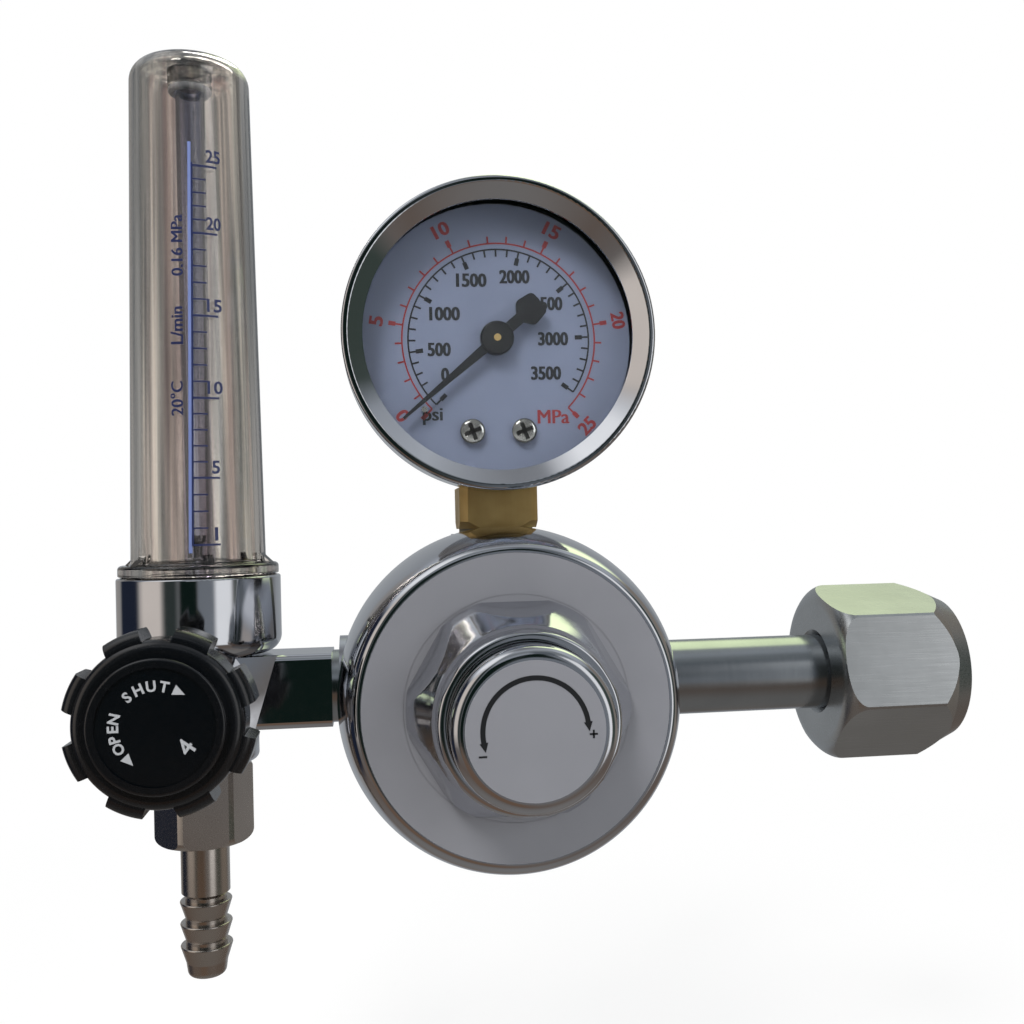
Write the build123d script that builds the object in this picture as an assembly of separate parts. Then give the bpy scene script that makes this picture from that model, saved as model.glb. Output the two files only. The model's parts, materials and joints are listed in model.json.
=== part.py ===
from build123d import *
import math
import os

# Carbon dioxide flowmeter regulator: a pressure regulator with a bottle connection on the right,
# a pressure gauge on top and a flow meter with a needle valve on the left.
# Frame: the origin is the centre of the mouth of the inlet nut's thread. +X leaves the mouth,
# towards the bottle valve, +Z is up and the dial and the knobs face -Y. Sizes are millimetres.
# A station is a place along the axis that a piece is turned about.

# Gaps between pieces
RUNNING_GAP = 0.08
FACE_GAP = 0.3
FIT_GAP = 0.05

# Inlet nut and stem, on the X axis
NUT_ACROSS_FLATS = 32.0
NUT_LENGTH = 27.2
NUT_CORNER_R = NUT_ACROSS_FLATS / 2 + 2.3
NUT_BACK_ROUND = 4.0
NUT_MOUTH_R = NUT_ACROSS_FLATS / 2 - 1.4
NUT_CHAMFER_R = NUT_ACROSS_FLATS / 2 + 0.2
NUT_CHAMFER_LENGTH = 3.6
NUT_CORNER_LENGTH = 7.0
NUT_THREAD_R = 10.3
NUT_THREAD_LENGTH = 15.0
NUT_THREAD_CHAMFER = 1.0
NUT_RELIEF_R = 11.4
NUT_TURN = -13.0
NUT_EDGE_ROUND = 0.5
WASHER_SETBACK = 1.0
INLET_WASHER_LENGTH = 2.0
INLET_WASHER_HOLE_R = 3.6
STEM_R = 7.7
STEM_BORE_R = 2.6
STEM_FLANGE_R = 9.8
STEM_FLANGE_LENGTH = 4.0
STEM_SPIGOT_R = 6.5
STEM_SPIGOT_LENGTH = 9.0
FILTER_R = 4.4
FILTER_LENGTH = 5.6
FILTER_WALL = 1.6

# Regulator body, turned about the bonnet's axis
BODY_FROM_NUT_MOUTH = 94.7
BODY_R = 30.0
BODY_FRONT = -10.5
BODY_BACK = 12.0
BODY_BACK_ROUND = 2.5
BODY_SPIGOT_R = 27.5
DIAPHRAGM_SEAT = -16.5
LOW_CHAMBER_R = 19.0
LOW_CHAMBER_FLOOR = -11.5
PORT_BOSS_R = 10.0
INLET_BOSS_REACH = 31.0
OUTLET_BOSS_REACH = 32.0
OUTLET_PORT_Z = 1.1
OUTLET_PORT_R = 6.0
OUTLET_PORT_DEPTH = 9.0
PASSAGE_R = 2.2
LOW_PASSAGE_OFFSET = 15.5
HIGH_CHAMBER_R = 5.5
HIGH_CHAMBER_END = 6.0
HEATER_POCKET_R = 16.0
HEATER_POCKET_DEPTH = 2.0

# Pressure valve and diaphragm
NOZZLE_R = 8.0
NOZZLE_END = -3.0
NOZZLE_HEAD_R = 9.8
NOZZLE_HEAD_LENGTH = 2.0
NOZZLE_ACROSS_FLATS = 17.0
NOZZLE_PIN_HOLE_R = 1.6
SEAT_STATION = -6.0
SEAT_CHAMBER_R = 4.4
POPPET_R = 3.5
POPPET_NOSE_LENGTH = 1.6
POPPET_LENGTH = 6.0
POPPET_GUIDE_R = 1.8
POPPET_GUIDE_LENGTH = 2.4
PIN_R = 1.2
POPPET_WIRE_R = 0.35
POPPET_SPRING_TURNS = 4.0
DIAPHRAGM_THICKNESS = 1.5
DIAPHRAGM_R = BODY_SPIGOT_R - FACE_GAP
SLIP_RING_THICKNESS = 1.0
SLIP_RING_WIDTH = 7.2
SLIP_RING_HOLE_R = DIAPHRAGM_R - SLIP_RING_WIDTH
PLATE_R = 14.0
PLATE_THICKNESS = 2.0
PLATE_BOSS_R = 5.6
PLATE_BOSS_LENGTH = 4.0
PLATE_BOSS_ROUND = 0.5

# Bonnet, label ring, cap and main spring
BONNET_R = 32.4
RIM_STATION = -10.8
FACE_STATION = -30.4
FACE_LIP_R = 28.0
LABEL_R = 27.6
LABEL_HOLE_R = 20.2
LABEL_THICKNESS = 0.4
HEX_ACROSS_FLATS = 38.0
HEX_CORNER_R = 19.9
HEX_SIDE_END = -33.6
HEX_CONE_R = 17.6
HEX_CONE_END = -37.4
TOWER_R = 15.2
TOWER_FOOT = -42.0
TOWER_FOOT_ROUND = 7.0
TOWER_END = -47.4
TOWER_LIP_ROUND = 0.7
CAVITY_R = 22.0
CAVITY_END = -27.6
CAVITY_TAPER = 4.2
CAP_R = 13.5
CAP_FACE = -53.1
CAP_SHOULDER_ROUND = 2.0
CAP_SKIRT_END = -36.5
CAP_CAVITY_R = 10.4
CAP_HEAD_THICKNESS = 3.4
CAP_LABEL_R = 11.2
CAP_LABEL_THICKNESS = 0.3
BUTTON_R = 9.8
BUTTON_THICKNESS = 3.0
BUTTON_NUB_R = 3.5
BUTTON_NUB_LENGTH = 2.0
SPRING_R = 7.8
SPRING_WIRE_R = 1.3
SPRING_TURNS = 6.0

# Heater and its rear cover
HEATER_R = 14.6
HEATER_THICKNESS = 4.0
COVER_R = 24.0
COVER_WALL = 2.0
COVER_LENGTH = 14.0
COVER_BACK_ROUND = 2.5
COVER_SCREW_CIRCLE_R = 18.6
COVER_SCREW_COUNT = 3
COVER_POST_R = 3.0
SCREW_R = 1.5
SCREW_HEAD_R = 2.8
SCREW_HEAD_LENGTH = 1.8
SCREW_DEPTH = 5.0
SLOT_WIDTH = 0.8
SLOT_DEPTH = 0.7
GLAND_PAD = 14.0
GLAND_PAD_PROUD = 0.6
GLAND_THREAD_R = 4.8
CABLE_GLAND_ACROSS_FLATS = 12.0
CABLE_GLAND_HEX_LENGTH = 3.0
CABLE_GLAND_R = 5.6
CABLE_GLAND_LENGTH = 11.0
CABLE_GLAND_ROUND = 0.9
CABLE_BORE_R = 3.2

# Gauge
GAUGE_UP = 69.1
GAUGE_STEM_Y = -1.0
GAUGE_BOSS_R = 9.2
GAUGE_BOSS_TOP = 31.0
GAUGE_GASKET_THICKNESS = 1.0
GAUGE_GASKET_R = 7.5
COLLAR_WIDTH = 15.6
COLLAR_CORNER_R = 10.0
COLLAR_CHAMFER = 1.4
STEM_NECK_R = 6.4
SOCKET_SPIGOT_R = 4.8
SOCKET_SPIGOT_LENGTH = 8.0
SOCKET_BORE_R = 1.2
GAUGE_PORT_DEPTH = 9.0
CASE_R = 28.8
CASE_WALL = 0.8
CASE_BACK = 7.5
CASE_BACK_ROUND = 2.2
CASE_RIM = -13.4
CASE_FLANGE_WIDTH = 1.6
CASE_FLANGE_R = CASE_R - CASE_FLANGE_WIDTH
BEZEL_WALL = 1.2
BEZEL_R = CASE_R + BEZEL_WALL
BEZEL_FRONT = -18.5
BEZEL_BACK = -9.6
BEZEL_BEAD_R = BEZEL_R - BEZEL_WALL
BEZEL_BEAD_ROUND = 0.5
BEZEL_EDGE_ROUND = 0.6
WINDOW_SEAT_WIDTH = 1.2
WINDOW_R = CASE_FLANGE_R - WINDOW_SEAT_WIDTH
WINDOW_LIP = 0.5
LENS_THICKNESS = 1.8
LENS_GASKET_THICKNESS = 0.5
DIAL_R = CASE_FLANGE_R - FACE_GAP
DIAL_FACE = -9.0
DIAL_THICKNESS = 0.6
DIAL_HOLE_R = 1.3
DIAL_SCREW_X = 5.1
DIAL_SCREW_UP = 8.8
DIAL_SCREW_DOWN = DIAL_R - DIAL_SCREW_UP
DIAL_SCREW_R = 0.9
DIAL_SCREW_HEAD_R = 2.3
DIAL_SCREW_HEAD_LENGTH = 1.2
DIAL_SCREW_DEPTH = 3.6
CROSS_LENGTH = 2.8
CROSS_WIDTH = 0.6
POINTER_REST = 220.0
POINTER_TRAVEL = 265.0
POINTER_REACH = 24.2
POINTER_TIP_WIDTH = 0.5
POINTER_ROOT_WIDTH = 2.1
POINTER_HUB_R = 3.3
POINTER_FRONT = -12.2
POINTER_THICKNESS = 0.8
POINTER_HUB_LENGTH = 1.9
POINTER_HUB_ROUND = 0.5
TAIL_NECK_WIDTH = 2.2
TAIL_NECK_REACH = 6.0
TAIL_REACH = 11.2
TAIL_WIDTH = 6.0
TAIL_END_WIDTH = 4.8
TAIL_SHOULDER = 1.5
STOP_PIN_R = 0.6
STOP_PIN_REACH = 20.0
STOP_PIN_LENGTH = 2.6

# Gauge movement, with its places measured from the pointer's axis
MODULE = 0.3
PINION_TEETH = 12
SECTOR_TEETH = 72
PRESSURE_ANGLE = 20.0
BACKLASH = 0.1
DEDENDUM = 1.25 * MODULE
PINION_ADDENDUM = MODULE
SECTOR_ADDENDUM = 0.8 * MODULE
SECTOR_SPARE_TEETH = 2
PINION_FRONT = -3.7
PINION_BACK = -1.5
ARBOR_R = 0.7
SECTOR_FRONT = -3.1
SECTOR_BACK = -2.1
SECTOR_RIM = 2.0
SECTOR_ARM_WIDTH = 2.4
SECTOR_HUB_R = 1.9
TAIL_PIN_REACH = 7.0
TAIL_PIN_ANGLE = -15.0
TAIL_EYE_R = 1.2
LINK_PIN_R = 0.45
LINK_GAP = 0.1
LINK_THICKNESS = 0.8
LINK_WIDTH = 1.8
PLATE_FRONT_STATION = -5.6
PLATE_REAR_STATION = 0.4
MOVEMENT_PLATE_THICKNESS = 0.8
MOVEMENT_HALF_WIDTH = 4.6
MOVEMENT_TOP = 4.6
PILLAR_R = 1.2
PILLAR_X = -9.0
PILLAR_DOWN = 10.2
PILLAR_EAR_WIDTH = 3.6
BLOCK_HALF_WIDTH = 7.5
BLOCK_TOP_DOWN = 16.2
BLOCK_CASE_SETBACK = 1.1
BLOCK_FRONT = -8.4
BLOCK_BACK = 5.0
TONGUE_TOP_DOWN = 15.2
TONGUE_HALF_WIDTH = 4.6
CASE_SCREW_X = 4.6
CASE_SCREW_UP = 5.4
CASE_SCREW_R = 1.2
CASE_SCREW_HEAD_R = 2.3
CASE_SCREW_HEAD_LENGTH = 1.3
CASE_SCREW_DEPTH = 6.0
CASE_PAD_R = 2.8
TUBE_CIRCLE_R = 19.4
TUBE_HALF_THICKNESS = 1.2
TUBE_HALF_WIDTH = 3.4
TUBE_STATION = -1.2
TUBE_START_ANGLE = -108.0
TUBE_END_ANGLE = -22.0
TIP_EYE_REACH = 15.4
TIP_EYE_R = 1.3
TIP_EYE_TURN = 2.0

# Flow meter, turned about the flow axis
FLOW_FROM_BODY = 59.3
CUP_R = 15.75
CUP_TOP = 23.9
CUP_LIP_ROUND = 0.4
CUP_BOTTOM = 8.6
CUP_ROUND = 3.4
CUP_WALL = 1.65
CUP_BORE_R = CUP_R - CUP_WALL
CUP_FLOOR = 12.0
FLOW_STEM_R = 10.9
FLOW_STEM_BOTTOM = -12.6
FLOW_STEM_ROUND = 1.2
ARM_HALF_HEIGHT = 7.2
ARM_HALF_DEPTH = 7.2
ARM_EDGE_ROUND = 1.4
ARM_END = 33.5
ARM_SPIGOT_LENGTH = 8.0
WEB_FRONT = 9.9
WEB_FLAT_WIDTH = 3.6
WEB_FOOT_TOP = 15.3
WEB_FOOT_BOTTOM = 10.9
ARM_BORE_R = 1.6
ARM_BORE_Y = 3.4
RISER_R = 1.1
RISER_Y = 1.6
RISER_Z = 2.0
PEDESTAL_R = 6.0
PEDESTAL_TOP = 19.0
VALVE_Z = 2.0
VALVE_BOSS_R = 10.0
VALVE_BOSS_END = -19.0
VALVE_SPIGOT_R = 6.5
VALVE_SPIGOT_END = -24.0
PACKING_R = 5.0
PACKING_BACK = -19.5
PACKING_FRONT = -22.0
SPINDLE_R = 3.0
SPINDLE_THREAD_END = -14.0
NECK_R = 2.0
NEEDLE_SHOULDER = -7.6
NEEDLE_SHOULDER_R = 2.6
NEEDLE_NOSE_R = 0.9
NEEDLE_NOSE_STATION = -5.4
NEEDLE_TIP = -3.6
VALVE_SEAT = -5.0
VALVE_ORIFICE_R = 1.2
FLOW_HOLE_Y = -10.5
FLOW_HOLE_R = 1.3
OUTLET_BORE_R = 1.6
OUTLET_BORE_Y = -1.5
OUTLET_SPIGOT_R = 6.9
OUTLET_SPIGOT_BOTTOM = -20.0

# Gland nut and knob, on the needle valve's axis
GLAND_ACROSS_FLATS = 17.0
GLAND_CORNER_R = 9.4
GLAND_FRONT_ROUND = 1.5
GLAND_BACK_ROUND = 0.5
GLAND_BACK = -19.3
GLAND_WEB = -24.3
GLAND_FRONT = -27.0
KNOB_BACK = -33.0
KNOB_HUB_R = 8.0
KNOB_BODY_BACK = -35.4
KNOB_BODY_FRONT = -44.2
KNOB_VALLEY_R = 13.6
KNOB_TIP_R = 15.4
KNOB_RING_R = 10.9
KNOB_FACE = -45.8
KNOB_HUB_ROUND = 0.6
KNOB_BACK_ROUND = 1.2
KNOB_FRONT_ROUND = 1.6
KNOB_RING_ROUND = 0.5
KNOB_LOBES = 8
LOBE_WIDTH = 6.0
LOBE_ROUND = 1.0
LOBE_BACK_ROUND = 1.0
LOBE_FRONT_ROUND = 1.8
LOBE_SETBACK = 0.6
LOBE_FIRST_ANGLE = 22.5
KNOB_LABEL_R = 9.4
KNOB_LABEL_THICKNESS = 0.6
KNOB_LABEL_SETBACK = 0.4
SPINDLE_FRONT = -42.6
KNOB_SCREW_HEAD_R = 2.8
KNOB_SCREW_HEAD_LENGTH = 1.6
KNOB_SCREW_DEPTH = 6.0

# Cover, metering tube and float, on the flow axis
COVER_FLANGE_R = CUP_R - 0.35
COVER_FLANGE_BOTTOM = CUP_TOP + FACE_GAP
COVER_FLANGE_TOP = 26.4
FLANGE_TOP_ROUND = 0.8
FLANGE_BOTTOM_ROUND = 0.3
COVER_SKIRT_R = CUP_BORE_R - 0.1
COVER_SKIRT_BOTTOM = 15.0
COVER_FOOT_R = COVER_SKIRT_R - 1.05
COVER_FOOT_ROUND = 0.6
COVER_SHOULDER_R = 11.5
COVER_SHOULDER_Z = 125.3
COVER_TOP = 126.2
COVER_SHOULDER_ROUND = 4.0
CLEAR_WALL = 2.0
TOP_WALL = 2.0
COVER_RIBS = 6
RIB_FIRST_ANGLE = -74.0
RIB_HEIGHT = 2.8
RIB_WIDTH = 2.0
RIB_REACH = 15.0
SEAL_R = 0.5
SEAL_GROOVE_DEPTH = 1.1
METER_R = 2.8
METER_BOTTOM = 13.4
METER_TOP = 121.8
METER_BORE_BOTTOM_R = 1.5
METER_BORE_TOP_R = 2.1
METER_INLET_R = 0.9
FLOAT_SEAT_Z = 27.5
FLOAT_LENGTH = 4.5
FLOAT_HEAD_LENGTH = 1.2
TUBE_SEAL_R = 0.7
TUBE_SEAL_SEAT_Z = 17.6
METER_SOCKET_R = 4.3
METER_SOCKET_BOTTOM = 121.0
METER_VENT_R = 0.9

# Outlet nut and hose tail, on the flow axis
OUTLET_NUT_ACROSS_FLATS = 17.0
OUTLET_NUT_CORNER_R = 9.5
OUTLET_NUT_TOP = -13.4
OUTLET_NUT_BOTTOM = -28.2
OUTLET_NUT_ROUND = 1.6
OUTLET_NUT_TOP_ROUND = 0.8
OUTLET_NUT_TURN = 10.6
OUTLET_NUT_WEB = 3.8
OUTLET_WASHER_THICKNESS = 1.2
TAIL_FLANGE_R = 6.4
TAIL_R = 4.7
TAIL_BORE_R = 2.2
TAIL_PLAIN_BOTTOM = -38.2
BARB_COUNT = 3
BARB_PITCH = 4.3
BARB_FIRST_DOWN = 1.6
BARB_LENGTH = 3.4
BARB_EDGE_ROUND = 0.25
BARB_R = 5.1
BARB_ROOT_R = 4.0
TAIL_BOTTOM = -54.6
TAIL_TIP_R = 3.6
TAIL_TIP_ROUND = 1.2

# Places that follow from the sizes above
BODY_X = -BODY_FROM_NUT_MOUTH
FLOW_X = BODY_X - FLOW_FROM_BODY
NUT_BACK = -NUT_LENGTH
WASHER_FACE = -NUT_THREAD_LENGTH - WASHER_SETBACK
STEM_FACE = WASHER_FACE - INLET_WASHER_LENGTH
FLANGE_BACK = STEM_FACE - STEM_FLANGE_LENGTH
NUT_SHOULDER = FLANGE_BACK - FACE_GAP
INLET_PORT_X = BODY_X + INLET_BOSS_REACH
OUTLET_PORT_X = BODY_X - OUTLET_BOSS_REACH
ARM_END_X = BODY_X - ARM_END
DIAPHRAGM_FRONT = DIAPHRAGM_SEAT - DIAPHRAGM_THICKNESS
CLAMP_STATION = DIAPHRAGM_FRONT - SLIP_RING_THICKNESS
PLATE_FRONT = DIAPHRAGM_FRONT - PLATE_THICKNESS
BONNET_BACK = BODY_FRONT
CAP_CEILING = CAP_FACE + CAP_HEAD_THICKNESS
BUTTON_FRONT = CAP_CEILING + BUTTON_NUB_LENGTH
BUTTON_BACK = BUTTON_FRONT + BUTTON_THICKNESS
HEATER_FRONT = BODY_BACK - HEATER_POCKET_DEPTH
COVER_BACK = BODY_BACK + COVER_LENGTH
GLAND_Y = BODY_BACK + COVER_LENGTH / 2
GLAND_SEAT_Z = -COVER_R - GLAND_PAD_PROUD
COLLAR_BOTTOM = GAUGE_BOSS_TOP + GAUGE_GASKET_THICKNESS
COLLAR_TOP = GAUGE_UP - CASE_R - FIT_GAP
CASE_INNER_R = CASE_R - CASE_WALL
BLOCK_BOTTOM_DOWN = CASE_INNER_R - BLOCK_CASE_SETBACK
CASE_SCREW_DOWN = BLOCK_BOTTOM_DOWN - CASE_SCREW_UP
LENS_BACK = CASE_RIM - LENS_GASKET_THICKNESS
LENS_FRONT = LENS_BACK - LENS_THICKNESS
LENS_R = CASE_R - FIT_GAP
DIAL_BACK = DIAL_FACE + DIAL_THICKNESS
PINION_PITCH_R = MODULE * PINION_TEETH / 2
SECTOR_PITCH_R = MODULE * SECTOR_TEETH / 2
SECTOR_DOWN = PINION_PITCH_R + SECTOR_PITCH_R
SECTOR_TRAVEL = POINTER_TRAVEL * PINION_TEETH / SECTOR_TEETH
TUBE_SEAL_CIRCLE_R = METER_R + TUBE_SEAL_R
TAIL_FLANGE_TOP = OUTLET_SPIGOT_BOTTOM - OUTLET_WASHER_THICKNESS
OUTLET_WEB_TOP = OUTLET_NUT_BOTTOM + OUTLET_NUT_WEB


def x_axis(y=0.0, z=0.0):
    """Axis along +X, with stations measured as X."""
    return Pos(0, y, z) * Rot(Y=90)


def y_axis(x, z=0.0):
    """Axis along +Y, with stations measured as Y."""
    return Pos(x, 0, z) * Rot(X=-90)


def z_axis(x, y=0.0):
    """Axis along +Z, with stations measured as Z."""
    return Pos(x, y, 0)


BONNET_AXIS = y_axis(BODY_X)
GAUGE_AXIS = y_axis(BODY_X, GAUGE_UP)
GAUGE_STEM_AXIS = z_axis(BODY_X, GAUGE_STEM_Y)
FLOW_AXIS = z_axis(FLOW_X)
VALVE_AXIS = y_axis(FLOW_X, VALVE_Z)
INLET_AXIS = x_axis()
OUTLET_AXIS = x_axis(0, OUTLET_PORT_Z)


def turned(corners, axis):
    """Turn a closed section about an axis. A corner is (radius, station) and may add a fillet."""
    points = [(corner[0], corner[1]) for corner in corners]
    fillets = [corner[2] if len(corner) == 3 else 0 for corner in corners]
    outline = FilletPolyline(*points, radius=fillets, close=True)
    return axis * revolve(Plane.XZ * make_face(outline), Axis.Z)


def rod(axis, radius, start, end):
    """Plain cylinder between two stations."""
    return axis * Pos(0, 0, (start + end) / 2) * Cylinder(radius, abs(end - start))


def ring(axis, hole, radius, start, end):
    """Plain ring between two stations."""
    return rod(axis, radius, start, end) - rod(axis, hole, start, end)


def hexagon(axis, across_flats, start, end, turn=0.0):
    """Hexagonal prism between two stations, with two corners on the axis frame's own X."""
    outline = Rot(Z=turn) * RegularPolygon(across_flats / 2, 6, major_radius=False)
    return axis * Pos(0, 0, min(start, end)) * extrude(outline, abs(end - start))


def flat_piece(sketch, x, z, front, back):
    """Extrude a sketch drawn in the front view, between two stations along Y."""
    return Pos(x, back, z) * extrude(Plane.XZ * sketch, back - front)


def polar(reach, angle):
    """Point in the front view at a distance and an angle from the sketch's centre."""
    return (reach * math.cos(math.radians(angle)), reach * math.sin(math.radians(angle)))


def bar(start, end, width):
    """Round-ended bar between two points of a sketch."""
    middle = ((start[0] + end[0]) / 2, (start[1] + end[1]) / 2)
    length = math.dist(start, end)
    turn = math.degrees(math.atan2(end[1] - start[1], end[0] - start[0]))
    return Pos(*middle) * Rot(Z=turn) * SlotCenterToCenter(length, width)


def coil(axis, radius, wire_radius, start, end, turns):
    """Compression spring of round wire that lies between two stations."""
    height = end - start - 2 * wire_radius
    path = Helix(height / turns, height, radius)
    section = Plane(origin=path @ 0, z_dir=path % 0) * Circle(wire_radius)
    return axis * Pos(0, 0, start + wire_radius) * sweep(section, path, is_frenet=True)


# Inlet connection


def make_inlet_nut():
    """Union nut: hexagon with a long chamfer at its mouth and a web that draws the stem's flange."""
    prism = hexagon(INLET_AXIS, NUT_ACROSS_FLATS, NUT_BACK, 0, NUT_TURN)
    edges = prism.edges().filter_by(Axis.X)
    prism = fillet(edges, NUT_EDGE_ROUND)
    envelope = turned(
        [
            (0, NUT_BACK),
            (NUT_CORNER_R, NUT_BACK, NUT_BACK_ROUND),
            (NUT_CORNER_R, -NUT_CORNER_LENGTH),
            (NUT_CHAMFER_R, -NUT_CHAMFER_LENGTH),
            (NUT_MOUTH_R, 0),
            (0, 0),
        ],
        INLET_AXIS,
    )
    bore = turned(
        [
            (0, NUT_BACK),
            (STEM_R + RUNNING_GAP + NUT_THREAD_CHAMFER, NUT_BACK),
            (STEM_R + RUNNING_GAP, NUT_BACK + NUT_THREAD_CHAMFER),
            (STEM_R + RUNNING_GAP, NUT_SHOULDER),
            (NUT_RELIEF_R, NUT_SHOULDER),
            (NUT_RELIEF_R, -NUT_THREAD_LENGTH),
            (NUT_THREAD_R, -NUT_THREAD_LENGTH),
            (NUT_THREAD_R, 0),
            (0, 0),
        ],
        INLET_AXIS,
    )
    return (prism & envelope) - bore


def make_inlet_stem():
    """Inlet pipe, screwed into the body, with the flange and the filter's recess at its mouth."""
    spigot_end = INLET_PORT_X - STEM_SPIGOT_LENGTH
    return turned(
        [
            (STEM_BORE_R, spigot_end),
            (STEM_SPIGOT_R, spigot_end),
            (STEM_SPIGOT_R, INLET_PORT_X),
            (STEM_R, INLET_PORT_X),
            (STEM_R, FLANGE_BACK),
            (STEM_FLANGE_R, FLANGE_BACK),
            (STEM_FLANGE_R, STEM_FACE),
            (FILTER_R, STEM_FACE),
            (FILTER_R, STEM_FACE - FILTER_LENGTH),
            (STEM_BORE_R, STEM_FACE - FILTER_LENGTH),
        ],
        INLET_AXIS,
    )


def make_inlet_washer():
    """Soft washer on the stem's face."""
    return ring(INLET_AXIS, INLET_WASHER_HOLE_R, STEM_FLANGE_R, STEM_FACE, WASHER_FACE)


def make_inlet_filter():
    """Sintered cup that fills the recess in the stem's mouth."""
    foot = STEM_FACE - FILTER_LENGTH
    cup_bore = rod(INLET_AXIS, FILTER_R - FILTER_WALL, foot, STEM_FACE - FILTER_WALL)
    return rod(INLET_AXIS, FILTER_R, foot, STEM_FACE) - cup_bore


# Regulator body


def cover_screw_places():
    """X and Z of each cover screw, measured from the bonnet's axis."""
    step = 360 / COVER_SCREW_COUNT
    return [polar(COVER_SCREW_CIRCLE_R, 90 + step * index) for index in range(COVER_SCREW_COUNT)]


def make_regulator_body():
    """Body with its three ports, both chambers and the passages between them."""
    body = turned(
        [
            (0, DIAPHRAGM_SEAT),
            (BODY_SPIGOT_R, DIAPHRAGM_SEAT),
            (BODY_SPIGOT_R, BODY_FRONT),
            (BODY_R, BODY_FRONT),
            (BODY_R, BODY_BACK, BODY_BACK_ROUND),
            (0, BODY_BACK),
        ],
        BONNET_AXIS,
    )
    body += rod(INLET_AXIS, PORT_BOSS_R, BODY_X, INLET_PORT_X)
    body += rod(OUTLET_AXIS, PORT_BOSS_R, OUTLET_PORT_X, BODY_X)
    body += rod(GAUGE_STEM_AXIS, GAUGE_BOSS_R, 0, GAUGE_BOSS_TOP)
    body -= rod(BONNET_AXIS, LOW_CHAMBER_R, DIAPHRAGM_SEAT, LOW_CHAMBER_FLOOR)
    body -= rod(BONNET_AXIS, NOZZLE_R, LOW_CHAMBER_FLOOR, NOZZLE_END)
    body -= rod(BONNET_AXIS, HIGH_CHAMBER_R, NOZZLE_END, HIGH_CHAMBER_END)
    body -= rod(BONNET_AXIS, HEATER_POCKET_R, HEATER_FRONT, BODY_BACK)
    body -= rod(INLET_AXIS, STEM_SPIGOT_R, INLET_PORT_X - STEM_SPIGOT_LENGTH, INLET_PORT_X)
    body -= rod(INLET_AXIS, PASSAGE_R, BODY_X, INLET_PORT_X)
    body -= rod(OUTLET_AXIS, OUTLET_PORT_R, OUTLET_PORT_X, OUTLET_PORT_X + OUTLET_PORT_DEPTH)
    low_passage_x = BODY_X - LOW_PASSAGE_OFFSET
    body -= rod(OUTLET_AXIS, PASSAGE_R, OUTLET_PORT_X, low_passage_x)
    body -= rod(y_axis(low_passage_x, OUTLET_PORT_Z), PASSAGE_R, LOW_CHAMBER_FLOOR, 0)
    gauge_port_floor = GAUGE_BOSS_TOP - GAUGE_PORT_DEPTH
    body -= rod(GAUGE_STEM_AXIS, SOCKET_SPIGOT_R, gauge_port_floor, GAUGE_BOSS_TOP)
    body -= rod(GAUGE_STEM_AXIS, SOCKET_BORE_R, 0, GAUGE_BOSS_TOP)
    for x, z in cover_screw_places():
        body -= rod(y_axis(BODY_X + x, z), SCREW_R, BODY_BACK - SCREW_DEPTH, BODY_BACK)
    return body


def make_valve_nozzle():
    """Screwed-in seat, with a hexagon head in the low-pressure chamber."""
    head_front = LOW_CHAMBER_FLOOR - NOZZLE_HEAD_LENGTH
    head = hexagon(BONNET_AXIS, NOZZLE_ACROSS_FLATS, head_front, LOW_CHAMBER_FLOOR)
    head &= rod(BONNET_AXIS, NOZZLE_HEAD_R, head_front, LOW_CHAMBER_FLOOR)
    nozzle = head + rod(BONNET_AXIS, NOZZLE_R, LOW_CHAMBER_FLOOR, NOZZLE_END)
    nozzle -= rod(BONNET_AXIS, NOZZLE_PIN_HOLE_R, head_front, SEAT_STATION)
    return nozzle - rod(BONNET_AXIS, SEAT_CHAMBER_R, SEAT_STATION, NOZZLE_END)


def poppet_stations():
    """Stations of the poppet's nose, back face and guide end when the valve is shut."""
    nose = SEAT_STATION + FIT_GAP
    back = nose + POPPET_LENGTH
    return nose, back, back + POPPET_GUIDE_LENGTH


def make_valve_poppet():
    """Poppet with the push pin that reaches the diaphragm."""
    nose, back, guide_end = poppet_stations()
    return turned(
        [
            (0, DIAPHRAGM_SEAT),
            (PIN_R, DIAPHRAGM_SEAT),
            (PIN_R, nose),
            (NOZZLE_PIN_HOLE_R + FACE_GAP, nose),
            (POPPET_R, nose + POPPET_NOSE_LENGTH),
            (POPPET_R, back),
            (POPPET_GUIDE_R, back),
            (POPPET_GUIDE_R, guide_end),
            (0, guide_end),
        ],
        BONNET_AXIS,
    )


def make_poppet_spring():
    """Closing spring between the poppet and the end of its chamber."""
    back = poppet_stations()[1]
    radius = POPPET_GUIDE_R + POPPET_WIRE_R + FACE_GAP
    return coil(BONNET_AXIS, radius, POPPET_WIRE_R, back, HIGH_CHAMBER_END, POPPET_SPRING_TURNS)


def make_diaphragm():
    """Rubber disc clamped at its rim."""
    return rod(BONNET_AXIS, DIAPHRAGM_R, DIAPHRAGM_FRONT, DIAPHRAGM_SEAT)


def make_slip_ring():
    """Metal ring that keeps the bonnet from twisting the diaphragm."""
    return ring(BONNET_AXIS, SLIP_RING_HOLE_R, DIAPHRAGM_R, CLAMP_STATION, DIAPHRAGM_FRONT)


def make_diaphragm_plate():
    """Plate that the main spring presses on, with a boss inside the spring."""
    boss_end = PLATE_FRONT - PLATE_BOSS_LENGTH
    return turned(
        [
            (0, DIAPHRAGM_FRONT),
            (PLATE_R, DIAPHRAGM_FRONT),
            (PLATE_R, PLATE_FRONT),
            (PLATE_BOSS_R, PLATE_FRONT),
            (PLATE_BOSS_R, boss_end, PLATE_BOSS_ROUND),
            (0, boss_end),
        ],
        BONNET_AXIS,
    )


# Bonnet and pressure adjustment


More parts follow.
